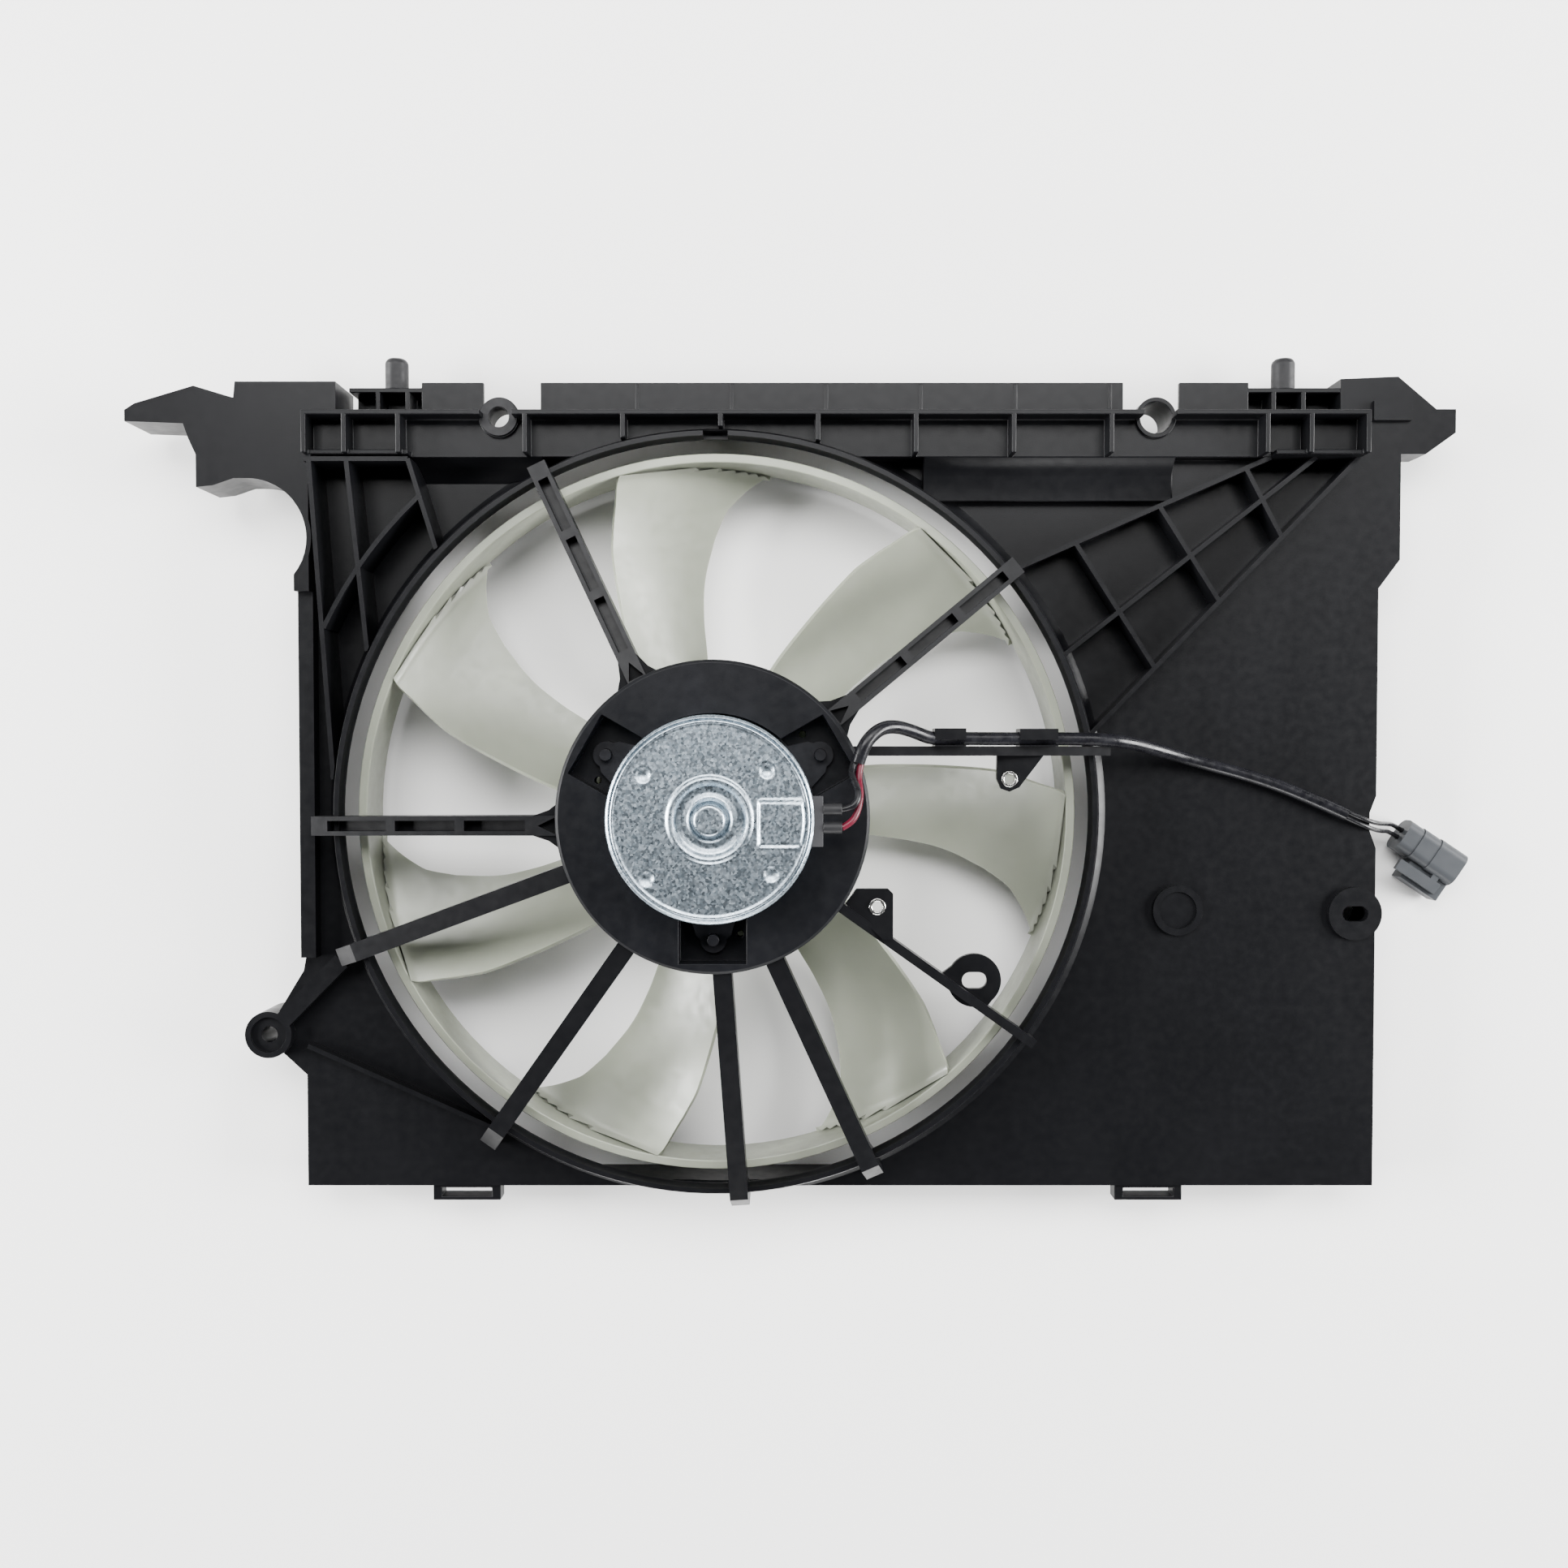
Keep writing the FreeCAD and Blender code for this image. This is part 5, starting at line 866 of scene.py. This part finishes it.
# Routes of the cords in millimetres.
SLEEVE_ROUTE: tuple[Point, ...] = (
    (72.2, 27.5, 96.5),
    (74.4, 34.2, 97.0),
    (78.2, 40.2, 95.8),
    (84.6, 44.9, 92.5),
    (92.4, 45.4, 88.0),
    (101.0, 43.0, 83.0),
    (110.5, 39.3, 78.0),
    (124.0, 39.6, 74.2),
    (146.0, 39.5, 69.6),
    (168.0, 39.6, 65.2),
    (188.0, 39.5, 61.6),
    (206.0, 39.0, 59.6),
    (220.0, 37.0, 53.0),
    (237.0, 33.2, 42.0),
    (258.0, 27.5, 35.2),
    (286.0, 20.2, 34.2),
    (314.0, 10.5, 33.8),
    (339.0, -1.0, 33.9),
)
RED_ROUTE: tuple[Point, ...] = (
    (63.8, -3.8, 109.3),
    (68.6, -1.6, 108.2),
    (71.9, 4.4, 106.2),
    (73.4, 12.6, 102.8),
    (72.0, 20.6, 98.2),
    (73.75, 27.0, 96.62),
)
BLACK_ROUTE: tuple[Point, ...] = (
    (63.8, 5.0, 109.3),
    (68.4, 5.8, 109.8),
    (71.6, 9.4, 109.0),
    (71.8, 14.2, 106.4),
    (69.6, 19.4, 101.8),
    (68.4, 23.8, 98.6),
    (70.65, 28.0, 96.5),
)
UPPER_PAIR_ROUTE: tuple[Point, ...] = (
    (339.6, 0.4, 33.9),
    (348.5, -3.7, 34.0),
    (357.5, -6.0, 30.8),
    (366.5, -6.8, 20.5),
    (375.6, -7.6, 10.2),
    (386.6, -15.0, 8.5),
)
LOWER_PAIR_ROUTE: tuple[Point, ...] = (
    (338.4, -2.4, 33.9),
    (346.5, -6.2, 33.9),
    (355.5, -9.4, 31.0),
    (364.2, -10.8, 21.0),
    (373.2, -11.3, 10.2),
    (384.2, -18.7, 8.5),
)


@dataclass
class Harness:
    """Motor leads, taped sleeve, wires beyond it and the connector; lengths in metres."""

    lead_radius: float = 1.65 * MM
    pair_radius: float = 1.25 * MM
    sleeve_radius: float = 3.4 * MM
    round_steps: int = 6
    length_steps: int = 10

    def cord(self, name: str, route: Sequence[Point], radius: float, finish: Finish) -> bpy.types.Object:
        """Smooth round cord along a route.

        Args:
            name: Name of the piece.
            route: Points in millimetres.
            radius: Radius in metres.
            finish: Finish to dress it in.

        Returns:
            The cord.
        """
        curve = bpy.data.curves.new(name, "CURVE")
        curve.dimensions = "3D"
        curve.bevel_depth = radius
        curve.bevel_resolution = self.round_steps
        curve.use_fill_caps = True
        spline = curve.splines.new("NURBS")
        spline.points.add(len(route) - 1)
        for spot, point in zip(spline.points, route):
            spot.co = (*(value * MM for value in point), 1.0)
        spline.order_u = 3
        spline.use_endpoint_u = True
        spline.resolution_u = self.length_steps
        piece = bpy.data.objects.new(name, curve)
        bpy.context.scene.collection.objects.link(piece)
        curve.materials.append(finish_material(finish))
        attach(piece, Body.FIXED.value)
        LOG.info("%s: cord of %d points", name, len(route))
        return piece

    def declare(self, piece: bpy.types.Object) -> None:
        """Works out the length of a cord's smooth line; the length is not kept.

        Args:
            piece: The cord.
        """
        self.line_length(piece)

    def line_length(self, piece: bpy.types.Object) -> float:
        """Length of a cord's smooth line.

        Args:
            piece: The cord.

        Returns:
            The length in metres.
        """
        copy = piece.copy()
        copy.data = piece.data.copy()
        copy.data.bevel_depth = 0.0
        bpy.context.scene.collection.objects.link(copy)
        bpy.context.view_layer.update()
        mesh = bpy.data.meshes.new_from_object(copy.evaluated_get(bpy.context.evaluated_depsgraph_get()))
        spots = [vert.co.copy() for vert in mesh.vertices]
        bpy.data.objects.remove(copy)
        bpy.data.meshes.remove(mesh)
        return sum((b - a).length for a, b in zip(spots, spots[1:]))

    def build(self) -> None:
        """Builds every piece of the harness."""
        sleeve = self.cord("harness_sleeve_taped", SLEEVE_ROUTE, self.sleeve_radius, TAPE)
        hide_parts("harness_sleeve")
        self.declare(sleeve)
        red = self.cord("lead_red_wire", RED_ROUTE, self.lead_radius, RED_WIRE)
        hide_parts("lead_red")
        self.declare(red)
        black = self.cord("lead_black_wire", BLACK_ROUTE, self.lead_radius, BLACK_WIRE)
        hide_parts("lead_black")
        self.declare(black)
        housing = dress_node("connector_housing", CONNECTOR_PLASTIC, Body.FIXED)
        lock = dress_node("connector_lock", CONNECTOR_PLASTIC, Body.FIXED)
        seal = dress_node("connector_seal", RUBBER, Body.FIXED, Edge.CRISP)
        pins = dress_node("connector_pins", INSERT, Body.FIXED, Edge.CRISP)
        upper = self.cord("connector_wire_upper", UPPER_PAIR_ROUTE, self.pair_radius, BLACK_WIRE)
        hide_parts("connector_wires")
        self.declare(upper)
        lower = self.cord("connector_wire_lower", LOWER_PAIR_ROUTE, self.pair_radius, BLACK_WIRE)
        self.declare(lower)


@dataclass(frozen=True)
class Lamp:
    """Rectangular soft lamp; lengths in metres, power in watts."""

    name: str
    place: Point
    target: Point
    size: Pair
    power: float

    def build(self) -> None:
        """Hangs the lamp."""
        lamp = bpy.data.lights.new(self.name, "AREA")
        lamp.shape = "RECTANGLE"
        lamp.size, lamp.size_y = self.size
        lamp.energy = self.power
        holder = bpy.data.objects.new(self.name, lamp)
        holder.location = self.place
        facing = Vector(self.target) - Vector(self.place)
        holder.rotation_euler = facing.to_track_quat("-Z", "Y").to_euler()
        bpy.context.scene.collection.objects.link(holder)


OBJECT_CENTRE: Point = (0.04, 0.0, 0.0)
LAMPS: tuple[Lamp, ...] = (
    Lamp("north", (0.05, 0.80, 1.25), (0.05, 0.12, 0.0), (1.7, 0.7), 50.0),
    Lamp("west", (-2.0, 0.1, 0.75), OBJECT_CENTRE, (1.2, 1.0), 190.0),
    Lamp("east", (2.1, 0.1, 0.75), OBJECT_CENTRE, (1.2, 1.0), 190.0),
    Lamp("south", (0.0, -2.1, 0.7), OBJECT_CENTRE, (1.6, 0.8), 62.0),
)


@dataclass
class Studio:
    """Pale floor, soft room light, lamps and the camera; lengths in metres."""

    floor_size: float = 6.0
    floor_drop: float = 0.0002
    floor_deep: Colour = (0.90, 0.895, 0.885)
    floor_pale: Colour = (0.92, 0.915, 0.905)
    floor_clouds: float = 3.0
    floor_roughness: float = 0.8
    room_colour: Colour = (0.92, 0.95, 1.0)
    room_strength: float = 0.06
    camera_place: Point = (0.0358, 0.0332, 0.756)
    camera_tilt: float = math.radians(-1.41)
    focal: float = 30.75
    sensor: float = 36.0

    def build_floor(self) -> None:
        """Lays the floor."""
        floor = bmesh.new()
        bmesh.ops.create_grid(floor, x_segments=1, y_segments=1, size=self.floor_size / 2)
        bmesh.ops.translate(floor, verts=floor.verts, vec=Vector((0.0, 0.0, -self.floor_drop)))
        mesh = bpy.data.meshes.new("floor")
        floor.to_mesh(mesh)
        floor.free()
        ground = bpy.data.objects.new("floor", mesh)
        bpy.context.scene.collection.objects.link(ground)
        material, tree, surface = shader("pale_floor")
        tone = add_range(tree, add_noise(tree, self.floor_clouds, 4.0), 0.0, 1.0)
        blend = add_blend(tree, tone, self.floor_deep, self.floor_pale)
        tree.links.new(blend, surface.inputs["Base Color"])
        surface.inputs["Roughness"].default_value = self.floor_roughness
        mesh.materials.append(material)

    def build_room(self) -> None:
        """Lights the room softly from all round."""
        world = bpy.data.worlds.new("soft_room")
        world.use_nodes = True
        background = world.node_tree.nodes["Background"]
        background.inputs["Color"].default_value = (*self.room_colour, 1.0)
        background.inputs["Strength"].default_value = self.room_strength
        bpy.context.scene.world = world

    def build_camera(self) -> None:
        """Places the camera at the photograph's viewing angle."""
        camera = bpy.data.cameras.new("camera")
        camera.lens = self.focal
        camera.sensor_width = self.sensor
        holder = bpy.data.objects.new("camera", camera)
        holder.location = self.camera_place
        holder.rotation_euler = (self.camera_tilt, 0.0, 0.0)
        bpy.context.scene.collection.objects.link(holder)
        bpy.context.scene.camera = holder

    def build(self) -> None:
        """Builds the floor, the lights and the camera."""
        self.build_floor()
        self.build_room()
        for lamp in LAMPS:
            lamp.build()
        self.build_camera()


def main() -> None:
    """Builds the whole scene."""
    logging.basicConfig(level=logging.INFO, format="%(name)s %(message)s")
    Studio().build()
    Harness().build()
    Shroud().build()
    RingFan().build()
    Motor().build()


if __name__ == "__main__":
    main()
